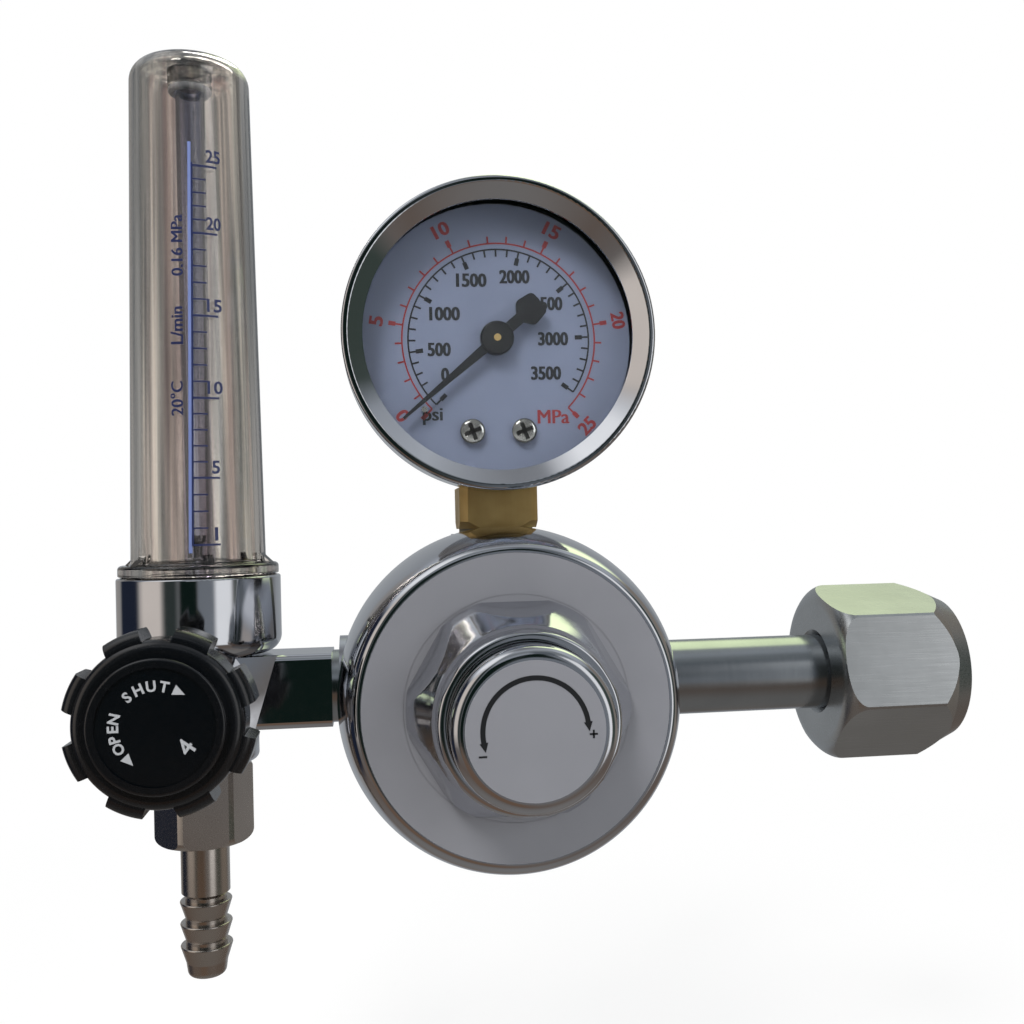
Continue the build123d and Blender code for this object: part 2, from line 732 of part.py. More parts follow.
def make_bonnet():
    """Spring housing: skirt, elliptical shoulder, recessed label face, hexagon and tower."""
    label_floor = FACE_STATION + LABEL_THICKNESS
    shoulder = EllipticalCenterArc(
        (FACE_LIP_R, RIM_STATION),
        BONNET_R - FACE_LIP_R,
        RIM_STATION - FACE_STATION,
        start_angle=270,
        arc_size=90,
    )
    rest = Polyline(
        (BONNET_R, RIM_STATION),
        (BONNET_R, BONNET_BACK),
        (0, BONNET_BACK),
        (0, label_floor),
        (LABEL_R, label_floor),
        (LABEL_R, FACE_STATION),
        (FACE_LIP_R, FACE_STATION),
    )
    bell = BONNET_AXIS * revolve(Plane.XZ * make_face(Curve() + [shoulder, rest]), Axis.Z)
    tower = turned(
        [
            (0, label_floor),
            (HEX_CORNER_R, label_floor),
            (HEX_CORNER_R, HEX_SIDE_END),
            (HEX_CONE_R, HEX_CONE_END),
            (TOWER_R, TOWER_FOOT, TOWER_FOOT_ROUND),
            (TOWER_R, TOWER_END, TOWER_LIP_ROUND),
            (0, TOWER_END),
        ],
        BONNET_AXIS,
    )
    tower &= hexagon(BONNET_AXIS, HEX_ACROSS_FLATS, TOWER_END, label_floor)
    cap_bore_r = CAP_R + RUNNING_GAP
    cavity = turned(
        [
            (0, TOWER_END),
            (cap_bore_r, TOWER_END),
            (cap_bore_r, CAVITY_END - CAVITY_TAPER),
            (CAVITY_R, CAVITY_END),
            (CAVITY_R, CLAMP_STATION),
            (BODY_SPIGOT_R + FIT_GAP, CLAMP_STATION),
            (BODY_SPIGOT_R + FIT_GAP, BONNET_BACK),
            (0, BONNET_BACK),
        ],
        BONNET_AXIS,
    )
    return bell + tower - cavity


def make_bonnet_label():
    """Flat label ring in the bonnet's face."""
    label_floor = FACE_STATION + LABEL_THICKNESS
    return ring(BONNET_AXIS, LABEL_HOLE_R, LABEL_R, FACE_STATION, label_floor)


def make_adjusting_cap():
    """Threaded cap with a rounded shoulder, hollow from behind."""
    return turned(
        [
            (0, CAP_FACE + CAP_LABEL_THICKNESS),
            (CAP_LABEL_R, CAP_FACE + CAP_LABEL_THICKNESS),
            (CAP_LABEL_R, CAP_FACE),
            (CAP_R, CAP_FACE, CAP_SHOULDER_ROUND),
            (CAP_R, CAP_SKIRT_END),
            (CAP_CAVITY_R, CAP_SKIRT_END),
            (CAP_CAVITY_R, CAP_CEILING),
            (0, CAP_CEILING),
        ],
        BONNET_AXIS,
    )


def make_cap_label():
    """Round label in the cap's face."""
    return rod(BONNET_AXIS, CAP_LABEL_R, CAP_FACE, CAP_FACE + CAP_LABEL_THICKNESS)


def make_spring_button():
    """Spring seat that the cap pushes in."""
    guide_end = BUTTON_BACK + PLATE_BOSS_LENGTH
    return turned(
        [
            (0, CAP_CEILING),
            (BUTTON_NUB_R, CAP_CEILING),
            (BUTTON_NUB_R, BUTTON_FRONT),
            (BUTTON_R, BUTTON_FRONT),
            (BUTTON_R, BUTTON_BACK),
            (PLATE_BOSS_R, BUTTON_BACK),
            (PLATE_BOSS_R, guide_end),
            (0, guide_end),
        ],
        BONNET_AXIS,
    )


def make_main_spring():
    """Range spring between the button and the diaphragm plate."""
    return coil(BONNET_AXIS, SPRING_R, SPRING_WIRE_R, BUTTON_BACK, PLATE_FRONT, SPRING_TURNS)


# Heater at the back


def make_heater_element():
    """Round heater in the body's rear pocket."""
    return rod(BONNET_AXIS, HEATER_R, HEATER_FRONT, HEATER_FRONT + HEATER_THICKNESS)


def make_heater_cover():
    """Rear cover with screw posts and the flat seat of the cable gland."""
    cover = turned(
        [
            (0, BODY_BACK),
            (COVER_R, BODY_BACK),
            (COVER_R, COVER_BACK, COVER_BACK_ROUND),
            (0, COVER_BACK),
        ],
        BONNET_AXIS,
    )
    pad_height = 2 * COVER_WALL
    pad_z = GLAND_SEAT_Z + pad_height / 2
    pad_depth = COVER_LENGTH - 2 * COVER_BACK_ROUND
    cover += Pos(BODY_X, GLAND_Y, pad_z) * Box(GLAND_PAD, pad_depth, pad_height)
    cover -= rod(BONNET_AXIS, COVER_R - COVER_WALL, BODY_BACK, COVER_BACK - COVER_WALL)
    for x, z in cover_screw_places():
        post_axis = y_axis(BODY_X + x, z)
        cover += rod(post_axis, COVER_POST_R, BODY_BACK, COVER_BACK - COVER_WALL)
        cover -= rod(post_axis, SCREW_R, BODY_BACK, COVER_BACK)
    gland_hole_top = -COVER_R + 2 * COVER_WALL
    return cover - rod(z_axis(BODY_X, GLAND_Y), GLAND_THREAD_R, GLAND_SEAT_Z, gland_hole_top)


def make_heater_screws():
    """Three slotted screws through the cover's posts into the body."""
    screws = []
    for x, z in cover_screw_places():
        axis = y_axis(BODY_X + x, z)
        head_end = COVER_BACK + SCREW_HEAD_LENGTH
        screw = rod(axis, SCREW_R, BODY_BACK - SCREW_DEPTH, COVER_BACK)
        screw += rod(axis, SCREW_HEAD_R, COVER_BACK, head_end)
        slot = Box(2 * SCREW_HEAD_R, SLOT_WIDTH, SLOT_DEPTH)
        screw -= axis * Pos(0, 0, head_end - SLOT_DEPTH / 2) * slot
        screws.append(screw)
    return Compound(screws)


def make_cable_gland():
    """Cable outlet that points down, with its bore open."""
    axis = z_axis(BODY_X, GLAND_Y)
    hex_bottom = GLAND_SEAT_Z - CABLE_GLAND_HEX_LENGTH
    bottom = GLAND_SEAT_Z - CABLE_GLAND_LENGTH
    gland = hexagon(axis, CABLE_GLAND_ACROSS_FLATS, hex_bottom, GLAND_SEAT_Z)
    gland += turned(
        [
            (0, -COVER_R + COVER_WALL),
            (GLAND_THREAD_R, -COVER_R + COVER_WALL),
            (GLAND_THREAD_R, hex_bottom),
            (CABLE_GLAND_R, hex_bottom),
            (CABLE_GLAND_R, bottom, CABLE_GLAND_ROUND),
            (0, bottom),
        ],
        axis,
    )
    return gland - rod(axis, CABLE_BORE_R, bottom, -COVER_R + COVER_WALL)


# Gauge


def make_gauge_socket():
    """Brass connection: spigot, square collar, neck and the block that carries the movement."""
    collar = GAUGE_STEM_AXIS * Pos(0, 0, (COLLAR_BOTTOM + COLLAR_TOP) / 2)
    collar *= Box(COLLAR_WIDTH, COLLAR_WIDTH, COLLAR_TOP - COLLAR_BOTTOM)
    collar &= turned(
        [
            (0, COLLAR_BOTTOM),
            (COLLAR_CORNER_R - COLLAR_CHAMFER, COLLAR_BOTTOM),
            (COLLAR_CORNER_R, COLLAR_BOTTOM + COLLAR_CHAMFER),
            (COLLAR_CORNER_R, COLLAR_TOP),
            (0, COLLAR_TOP),
        ],
        GAUGE_STEM_AXIS,
    )
    block_bottom = GAUGE_UP - BLOCK_BOTTOM_DOWN
    block_top = GAUGE_UP - BLOCK_TOP_DOWN
    socket = collar + rod(GAUGE_STEM_AXIS, STEM_NECK_R, COLLAR_TOP, block_bottom)
    spigot_bottom = GAUGE_BOSS_TOP - SOCKET_SPIGOT_LENGTH
    socket += rod(GAUGE_STEM_AXIS, SOCKET_SPIGOT_R, spigot_bottom, COLLAR_BOTTOM)
    block = Rectangle(2 * BLOCK_HALF_WIDTH, BLOCK_BOTTOM_DOWN - BLOCK_TOP_DOWN)
    block_z = (block_bottom + block_top) / 2
    socket += flat_piece(block, BODY_X, block_z, BLOCK_FRONT, BLOCK_BACK)
    tongue_front = PLATE_FRONT_STATION + MOVEMENT_PLATE_THICKNESS
    tongue = Rectangle(2 * TONGUE_HALF_WIDTH, BLOCK_TOP_DOWN - TONGUE_TOP_DOWN)
    tongue_z = GAUGE_UP - (BLOCK_TOP_DOWN + TONGUE_TOP_DOWN) / 2
    socket += flat_piece(tongue, BODY_X, tongue_z, tongue_front, PLATE_REAR_STATION)
    for side in (-1, 1):
        screw_axis = y_axis(BODY_X + side * CASE_SCREW_X, GAUGE_UP - CASE_SCREW_DOWN)
        socket += rod(screw_axis, CASE_PAD_R, BLOCK_BACK, CASE_BACK - CASE_WALL)
        screw_end = CASE_BACK - CASE_SCREW_DEPTH
        socket -= rod(screw_axis, CASE_SCREW_R, screw_end, CASE_BACK)
        dial_screw_axis = y_axis(BODY_X + side * DIAL_SCREW_X, GAUGE_UP - DIAL_SCREW_DOWN)
        socket -= rod(dial_screw_axis, DIAL_SCREW_R, BLOCK_FRONT, dial_screw_end())
    socket -= bourdon_arc()
    bore_top = GAUGE_UP - TUBE_CIRCLE_R
    return socket - rod(GAUGE_STEM_AXIS, SOCKET_BORE_R, spigot_bottom, bore_top)


def make_gauge_gasket():
    """Flat ring between the body's top boss and the brass collar."""
    return ring(GAUGE_STEM_AXIS, SOCKET_SPIGOT_R, GAUGE_GASKET_R, GAUGE_BOSS_TOP, COLLAR_BOTTOM)


def make_gauge_case():
    """Drawn steel case with an inward flange at its front and a hole for the socket."""
    case = turned(
        [
            (CASE_FLANGE_R, CASE_RIM),
            (CASE_R, CASE_RIM),
            (CASE_R, CASE_BACK, CASE_BACK_ROUND),
            (0, CASE_BACK),
            (0, CASE_BACK - CASE_WALL),
            (CASE_INNER_R, CASE_BACK - CASE_WALL, CASE_BACK_ROUND - CASE_WALL),
            (CASE_INNER_R, CASE_RIM + CASE_WALL),
            (CASE_FLANGE_R, CASE_RIM + CASE_WALL),
        ],
        GAUGE_AXIS,
    )
    neck_hole_r = STEM_NECK_R + FIT_GAP
    block_bottom = GAUGE_UP - BLOCK_BOTTOM_DOWN
    case -= rod(GAUGE_STEM_AXIS, neck_hole_r, COLLAR_BOTTOM, block_bottom)
    for side in (-1, 1):
        screw_axis = y_axis(BODY_X + side * CASE_SCREW_X, GAUGE_UP - CASE_SCREW_DOWN)
        case -= rod(screw_axis, CASE_SCREW_R, CASE_BACK - CASE_WALL, CASE_BACK)
    return case


def make_case_screws():
    """Two slotted screws through the back of the case into the socket's block."""
    screws = []
    for side in (-1, 1):
        axis = y_axis(BODY_X + side * CASE_SCREW_X, GAUGE_UP - CASE_SCREW_DOWN)
        head_end = CASE_BACK + CASE_SCREW_HEAD_LENGTH
        screw = rod(axis, CASE_SCREW_R, CASE_BACK - CASE_SCREW_DEPTH, CASE_BACK)
        screw += rod(axis, CASE_SCREW_HEAD_R, CASE_BACK, head_end)
        slot = Box(2 * CASE_SCREW_HEAD_R, SLOT_WIDTH, SLOT_DEPTH)
        screw -= axis * Pos(0, 0, head_end - SLOT_DEPTH / 2) * slot
        screws.append(screw)
    return Compound(screws)


def make_gauge_bezel():
    """Ring with a rounded bead outside and a slope down to the window."""
    return turned(
        [
            (CASE_R, BEZEL_BACK),
            (BEZEL_R, BEZEL_BACK, BEZEL_BEAD_ROUND),
            (BEZEL_R, BEZEL_FRONT, BEZEL_EDGE_ROUND),
            (BEZEL_BEAD_R, BEZEL_FRONT, BEZEL_BEAD_ROUND),
            (WINDOW_R, LENS_FRONT - WINDOW_LIP),
            (WINDOW_R, LENS_FRONT),
            (CASE_R, LENS_FRONT),
        ],
        GAUGE_AXIS,
    )


def make_gauge_lens():
    """Flat window between the bezel and its ring."""
    return rod(GAUGE_AXIS, LENS_R, LENS_FRONT, LENS_BACK)


def make_lens_gasket():
    """Ring between the window and the case's flange."""
    return ring(GAUGE_AXIS, CASE_FLANGE_R, LENS_R, LENS_BACK, CASE_RIM)


def dial_screw_end():
    """Station where the dial screws end inside the block."""
    return BLOCK_FRONT + DIAL_SCREW_DEPTH


def stop_pin_place():
    """X and Z of the stop pin, beside the pointer at rest, measured from the pointer's axis."""
    share = STOP_PIN_REACH / POINTER_REACH
    half_width = (POINTER_ROOT_WIDTH + share * (POINTER_TIP_WIDTH - POINTER_ROOT_WIDTH)) / 2
    offset = half_width + STOP_PIN_R + FACE_GAP
    angle = POINTER_REST + math.degrees(math.atan2(offset, STOP_PIN_REACH))
    return polar(STOP_PIN_REACH, angle)


def make_gauge_dial():
    """Dial disc with holes for the pointer shaft, its two screws and the stop pin."""
    dial = ring(GAUGE_AXIS, DIAL_HOLE_R, DIAL_R, DIAL_FACE, DIAL_BACK)
    for side in (-1, 1):
        screw_axis = y_axis(BODY_X + side * DIAL_SCREW_X, GAUGE_UP - DIAL_SCREW_DOWN)
        dial -= rod(screw_axis, DIAL_SCREW_R, DIAL_FACE, DIAL_BACK)
    x, z = stop_pin_place()
    return dial - rod(y_axis(BODY_X + x, GAUGE_UP + z), STOP_PIN_R, DIAL_FACE, DIAL_BACK)


def make_dial_screws():
    """Two cross-head screws that hold the dial on the socket's block."""
    screws = []
    for side in (-1, 1):
        axis = y_axis(BODY_X + side * DIAL_SCREW_X, GAUGE_UP - DIAL_SCREW_DOWN)
        head_front = DIAL_FACE - DIAL_SCREW_HEAD_LENGTH
        screw = turned(
            [
                (0, head_front),
                (DIAL_SCREW_HEAD_R, head_front, DIAL_SCREW_HEAD_LENGTH / 2),
                (DIAL_SCREW_HEAD_R, DIAL_FACE),
                (DIAL_SCREW_R, DIAL_FACE),
                (DIAL_SCREW_R, dial_screw_end()),
                (0, dial_screw_end()),
            ],
            axis,
        )
        cross = Rectangle(CROSS_LENGTH, CROSS_WIDTH) + Rectangle(CROSS_WIDTH, CROSS_LENGTH)
        screw -= axis * Pos(0, 0, head_front) * extrude(cross, SLOT_DEPTH)
        screws.append(screw)
    return Compound(screws)


def make_pointer_stop():
    """Pin that stops the pointer at its rest."""
    x, z = stop_pin_place()
    axis = y_axis(BODY_X + x, GAUGE_UP + z)
    return rod(axis, STOP_PIN_R, DIAL_FACE - STOP_PIN_LENGTH, DIAL_BACK)


def make_gauge_pointer():
    """Tapered needle with a round hub and a spade tail."""
    half_root = POINTER_ROOT_WIDTH / 2
    half_tip = POINTER_TIP_WIDTH / 2
    half_neck = TAIL_NECK_WIDTH / 2
    half_tail = TAIL_WIDTH / 2
    half_end = TAIL_END_WIDTH / 2
    needle = Polygon(
        (0, -half_root),
        (POINTER_REACH, -half_tip),
        (POINTER_REACH, half_tip),
        (0, half_root),
        align=None,
    )
    tail = Polygon(
        (0, half_neck),
        (-TAIL_NECK_REACH, half_neck),
        (-TAIL_NECK_REACH - TAIL_SHOULDER, half_tail),
        (-TAIL_REACH, half_end),
        (-TAIL_REACH, -half_end),
        (-TAIL_NECK_REACH - TAIL_SHOULDER, -half_tail),
        (-TAIL_NECK_REACH, -half_neck),
        (0, -half_neck),
        align=None,
    )
    paddle = tail.vertices().filter_by(lambda vertex: vertex.X < -TAIL_NECK_REACH - half_neck)
    tail = fillet(paddle, half_neck)
    outline = Rot(Z=POINTER_REST) * (needle + tail)
    back = POINTER_FRONT + POINTER_HUB_LENGTH
    middle = (POINTER_FRONT + back) / 2
    blade_front = middle - POINTER_THICKNESS / 2
    blade_back = middle + POINTER_THICKNESS / 2
    pointer = flat_piece(outline, BODY_X, GAUGE_UP, blade_front, blade_back)
    hub = turned(
        [
            (0, POINTER_FRONT),
            (POINTER_HUB_R, POINTER_FRONT, POINTER_HUB_ROUND),
            (POINTER_HUB_R, back),
            (0, back),
        ],
        GAUGE_AXIS,
    )
    return pointer + hub - rod(GAUGE_AXIS, ARBOR_R, POINTER_FRONT, back)


def involute(angle):
    """Involute of an angle in radians."""
    return math.tan(angle) - angle


def tooth_half_angle(pitch_radius, radius):
    """Half of a tooth's angle at a radius, in radians, thinned by the backlash."""
    pressure = math.radians(PRESSURE_ANGLE)
    base_radius = pitch_radius * math.cos(pressure)
    half_at_pitch = (math.pi * MODULE / 2 - BACKLASH) / 2 / pitch_radius
    flank = math.acos(base_radius / max(radius, base_radius))
    return half_at_pitch + involute(pressure) - involute(flank)


def tooth_points(pitch_radius, centre, addendum):
    """Points of one tooth, from its right root to its left one, round a gear's centre."""
    radii = [pitch_radius - DEDENDUM, pitch_radius, pitch_radius + addendum]
    right = []
    left = []
    for radius in radii:
        half = math.degrees(tooth_half_angle(pitch_radius, radius))
        right.append(polar(radius, centre - half))
        left.append(polar(radius, centre + half))
    return right + left[::-1]


def make_gauge_pinion():
    """Pointer shaft with its pinion. A tooth points down, to the sector."""
    step = 360 / PINION_TEETH
    points = []
    for index in range(PINION_TEETH):
        points += tooth_points(PINION_PITCH_R, -90 + step * index, PINION_ADDENDUM)
    pinion = flat_piece(Polygon(*points, align=None), BODY_X, GAUGE_UP, PINION_FRONT, PINION_BACK)
    plate_back = PLATE_REAR_STATION + MOVEMENT_PLATE_THICKNESS
    return pinion + rod(GAUGE_AXIS, ARBOR_R, POINTER_FRONT, plate_back)


def make_sector_gear():
    """Toothed sector with its hub, its pivot pin and the tail that the link pulls."""
    step = 360 / SECTOR_TEETH
    swept_teeth = math.ceil(SECTOR_TRAVEL / step)
    points = []
    for index in range(-swept_teeth - SECTOR_SPARE_TEETH, SECTOR_SPARE_TEETH):
        centre = 90 + step * (index + 0.5)
        points += tooth_points(SECTOR_PITCH_R, centre, SECTOR_ADDENDUM)
    inner = SECTOR_PITCH_R - SECTOR_RIM
    first_angle = 90 - step * (swept_teeth + SECTOR_SPARE_TEETH)
    last_angle = 90 + step * SECTOR_SPARE_TEETH
    span = last_angle - first_angle
    for index in range(swept_teeth + 1):
        points.append(polar(inner, last_angle - span * index / swept_teeth))
    outline = Polygon(*points, align=None)
    middle_angle = (first_angle + last_angle) / 2
    outline += bar((0, 0), polar(inner, middle_angle), SECTOR_ARM_WIDTH)
    tail_pin = polar(TAIL_PIN_REACH, TAIL_PIN_ANGLE)
    outline += bar((0, 0), tail_pin, 2 * TAIL_EYE_R)
    outline += Circle(SECTOR_HUB_R)
    outline -= Pos(*tail_pin) * Circle(LINK_PIN_R + LINK_GAP)
    pivot_z = GAUGE_UP - SECTOR_DOWN
    sector = flat_piece(outline, BODY_X, pivot_z, SECTOR_FRONT, SECTOR_BACK)
    plate_back = PLATE_REAR_STATION + MOVEMENT_PLATE_THICKNESS
    return sector + rod(y_axis(BODY_X, pivot_z), ARBOR_R, PLATE_FRONT_STATION, plate_back)


def link_ends():
    """Front-view places of the link's two pins, measured from the pointer's axis."""
    tail_x, tail_z = polar(TAIL_PIN_REACH, TAIL_PIN_ANGLE)
    return (tail_x, tail_z - SECTOR_DOWN), polar(TIP_EYE_REACH, TUBE_END_ANGLE)


def make_gauge_link():
    """Link in front of the sector and the tube's tip, with a pin at each end."""
    tail_pin, tip_pin = link_ends()
    back = SECTOR_FRONT - LINK_GAP
    outline = bar(tail_pin, tip_pin, LINK_WIDTH)
    link = flat_piece(outline, BODY_X, GAUGE_UP, back - LINK_THICKNESS, back)
    for x, z in (tail_pin, tip_pin):
        link += rod(y_axis(BODY_X + x, GAUGE_UP + z), LINK_PIN_R, back, SECTOR_BACK)
    return link


def movement_outline():
    """Outline of a movement plate: an upright with an ear towards its pillar."""
    height = MOVEMENT_TOP + BLOCK_TOP_DOWN
    upright = Pos(0, MOVEMENT_TOP - height / 2) * Rectangle(2 * MOVEMENT_HALF_WIDTH, height)
    upright += bar((0, -PILLAR_DOWN), (PILLAR_X, -PILLAR_DOWN), PILLAR_EAR_WIDTH)
    for down in (0, SECTOR_DOWN):
        upright -= Pos(0, -down) * Circle(ARBOR_R + FIT_GAP)
    return upright


def make_movement_plate_front():
    """Front plate, between the dial and the gears."""
    back = PLATE_FRONT_STATION + MOVEMENT_PLATE_THICKNESS
    outline = movement_outline()
    return flat_piece(outline, BODY_X, GAUGE_UP, PLATE_FRONT_STATION, back)


def make_movement_plate_rear():
    """Rear plate with the pillar that carries the front plate's ear."""
    back = PLATE_REAR_STATION + MOVEMENT_PLATE_THICKNESS
    plate = flat_piece(movement_outline(), BODY_X, GAUGE_UP, PLATE_REAR_STATION, back)
    pillar_axis = y_axis(BODY_X + PILLAR_X, GAUGE_UP - PILLAR_DOWN)
    pillar_front = PLATE_FRONT_STATION + MOVEMENT_PLATE_THICKNESS
    return plate + rod(pillar_axis, PILLAR_R, pillar_front, PLATE_REAR_STATION)


def bourdon_arc():
    """Flattened pressure tube, bent round the pointer's axis from the socket over the top."""
    section = Pos(TUBE_CIRCLE_R, TUBE_STATION) * Ellipse(TUBE_HALF_THICKNESS, TUBE_HALF_WIDTH)
    sweep_angle = 360 + TUBE_START_ANGLE - TUBE_END_ANGLE
    arc = revolve(Plane.XZ * section, Axis.Z, sweep_angle)
    return GAUGE_AXIS * Rot(Z=-TUBE_START_ANGLE) * arc


def make_bourdon_tube():
    """Pressure tube with the eye at its tip that the link is pinned to."""
    tip = polar(TIP_EYE_REACH, TUBE_END_ANGLE)
    root = polar(TUBE_CIRCLE_R, TUBE_END_ANGLE + TIP_EYE_TURN)
    eye = bar(tip, root, 2 * TIP_EYE_R)
    eye -= Pos(*tip) * Circle(LINK_PIN_R + LINK_GAP)
    return bourdon_arc() + flat_piece(eye, BODY_X, GAUGE_UP, SECTOR_FRONT, SECTOR_BACK)


# Flow body, gland and knob


def arm_web():
    """Sloping web in front of the arm, where it leaves the flow body."""
    half = ARM_HALF_HEIGHT
    sections = []
    for height, foot in ((-half, WEB_FOOT_BOTTOM), (half, WEB_FOOT_TOP)):
        triangle = Polygon(
            (0, -WEB_FRONT),
            (WEB_FLAT_WIDTH, -WEB_FRONT),
            (foot, -ARM_HALF_DEPTH),
            (0, -ARM_HALF_DEPTH),
            align=None,
        )
        sections.append(Pos(FLOW_X, 0, OUTLET_PORT_Z + height) * triangle)
    return loft(sections, ruled=True)


def make_flow_body():
    """Casting with the cup, the stem, the arm, the valve boss and the outlet spigot."""
    body = turned(
        [
            (0, CUP_TOP),
            (CUP_R, CUP_TOP, CUP_LIP_ROUND),
            (CUP_R, CUP_BOTTOM, CUP_ROUND),
            (FLOW_STEM_R, CUP_BOTTOM),
            (FLOW_STEM_R, FLOW_STEM_BOTTOM, FLOW_STEM_ROUND),
            (OUTLET_SPIGOT_R, FLOW_STEM_BOTTOM),
            (OUTLET_SPIGOT_R, OUTLET_SPIGOT_BOTTOM),
            (0, OUTLET_SPIGOT_BOTTOM),
        ],
        FLOW_AXIS,
    )
    arm_length = ARM_END_X - FLOW_X
    arm = Box(arm_length, 2 * ARM_HALF_DEPTH, 2 * ARM_HALF_HEIGHT)
    arm = fillet(arm.edges().filter_by(Axis.X), ARM_EDGE_ROUND)
    body += Pos(FLOW_X + arm_length / 2, 0, OUTLET_PORT_Z) * arm
    body += arm_web()
    body += rod(OUTLET_AXIS, OUTLET_PORT_R, ARM_END_X, ARM_END_X + ARM_SPIGOT_LENGTH)
    body += rod(VALVE_AXIS, VALVE_BOSS_R, VALVE_BOSS_END, 0)
    body += rod(VALVE_AXIS, VALVE_SPIGOT_R, VALVE_SPIGOT_END, VALVE_BOSS_END)
    cup_bore = rod(FLOW_AXIS, CUP_BORE_R, CUP_FLOOR, CUP_TOP)
    cup_bore -= rod(FLOW_AXIS, PEDESTAL_R, CUP_FLOOR, PEDESTAL_TOP)
    body -= cup_bore
    groove_r = COVER_SKIRT_R + 2 * SEAL_R
    body -= rod(FLOW_AXIS, groove_r, CUP_TOP - SEAL_GROOVE_DEPTH, CUP_TOP)
    body -= rod(FLOW_AXIS, METER_R, METER_BOTTOM, PEDESTAL_TOP)
    body -= rod(FLOW_AXIS, METER_R + 2 * TUBE_SEAL_R, TUBE_SEAL_SEAT_Z, PEDESTAL_TOP)
    arm_bore_axis = x_axis(ARM_BORE_Y, RISER_Z)
    body -= rod(arm_bore_axis, ARM_BORE_R, FLOW_X - RISER_R, ARM_END_X + ARM_SPIGOT_LENGTH)
    riser_top = METER_BOTTOM + FACE_GAP
    body -= rod(z_axis(FLOW_X, RISER_Y), RISER_R, RISER_Z, riser_top)
    body -= rod(VALVE_AXIS, SPINDLE_R + RUNNING_GAP, VALVE_SPIGOT_END, VALVE_SEAT)
    body -= rod(VALVE_AXIS, PACKING_R, VALVE_SPIGOT_END, PACKING_BACK)
    body -= rod(VALVE_AXIS, VALVE_ORIFICE_R, VALVE_SEAT, OUTLET_BORE_Y)
    body -= rod(z_axis(FLOW_X, FLOW_HOLE_Y), FLOW_HOLE_R, VALVE_Z, CUP_FLOOR)
    outlet_axis = z_axis(FLOW_X, OUTLET_BORE_Y)
    return body - rod(outlet_axis, OUTLET_BORE_R, OUTLET_SPIGOT_BOTTOM, VALVE_Z)


def make_arm_washer():
    """Ring between the arm and the body's left port."""
    return ring(OUTLET_AXIS, OUTLET_PORT_R, ARM_HALF_HEIGHT, ARM_END_X, OUTLET_PORT_X)


def make_gland_nut():
    """Hexagon nut that presses the packing round the spindle."""
    nut = hexagon(VALVE_AXIS, GLAND_ACROSS_FLATS, GLAND_FRONT, GLAND_BACK)
    nut &= turned(
        [
            (0, GLAND_FRONT),
            (GLAND_CORNER_R, GLAND_FRONT, GLAND_FRONT_ROUND),
            (GLAND_CORNER_R, GLAND_BACK, GLAND_BACK_ROUND),
            (0, GLAND_BACK),
        ],
        VALVE_AXIS,
    )
    nut -= rod(VALVE_AXIS, VALVE_SPIGOT_R, GLAND_WEB, GLAND_BACK)
    nut += rod(VALVE_AXIS, PACKING_R - FIT_GAP, GLAND_WEB, PACKING_FRONT)
    return nut - rod(VALVE_AXIS, SPINDLE_R + RUNNING_GAP, GLAND_FRONT, PACKING_FRONT)


def make_gland_packing():
    """Packing ring at the bottom of the gland."""
    return ring(VALVE_AXIS, SPINDLE_R + RUNNING_GAP, PACKING_R, PACKING_FRONT, PACKING_BACK)


def make_needle_spindle():
    """Spindle with its thread, neck and needle, shown shut."""
    spindle = turned(
        [
            (0, SPINDLE_FRONT),
            (SPINDLE_R, SPINDLE_FRONT),
            (SPINDLE_R, SPINDLE_THREAD_END),
            (NECK_R, SPINDLE_THREAD_END),
            (NECK_R, NEEDLE_SHOULDER),
            (NEEDLE_SHOULDER_R, NEEDLE_SHOULDER),
            (NEEDLE_NOSE_R, NEEDLE_NOSE_STATION),
            (NEEDLE_NOSE_R, NEEDLE_TIP),
            (0, NEEDLE_TIP),
        ],
        VALVE_AXIS,
    )
    screw_end = SPINDLE_FRONT + KNOB_SCREW_DEPTH
    return spindle - rod(VALVE_AXIS, SCREW_R + FIT_GAP, SPINDLE_FRONT, screw_end)


def knob_label_floor():
    """Station of the seat of the knob's label."""
    return KNOB_FACE + KNOB_LABEL_SETBACK + KNOB_LABEL_THICKNESS


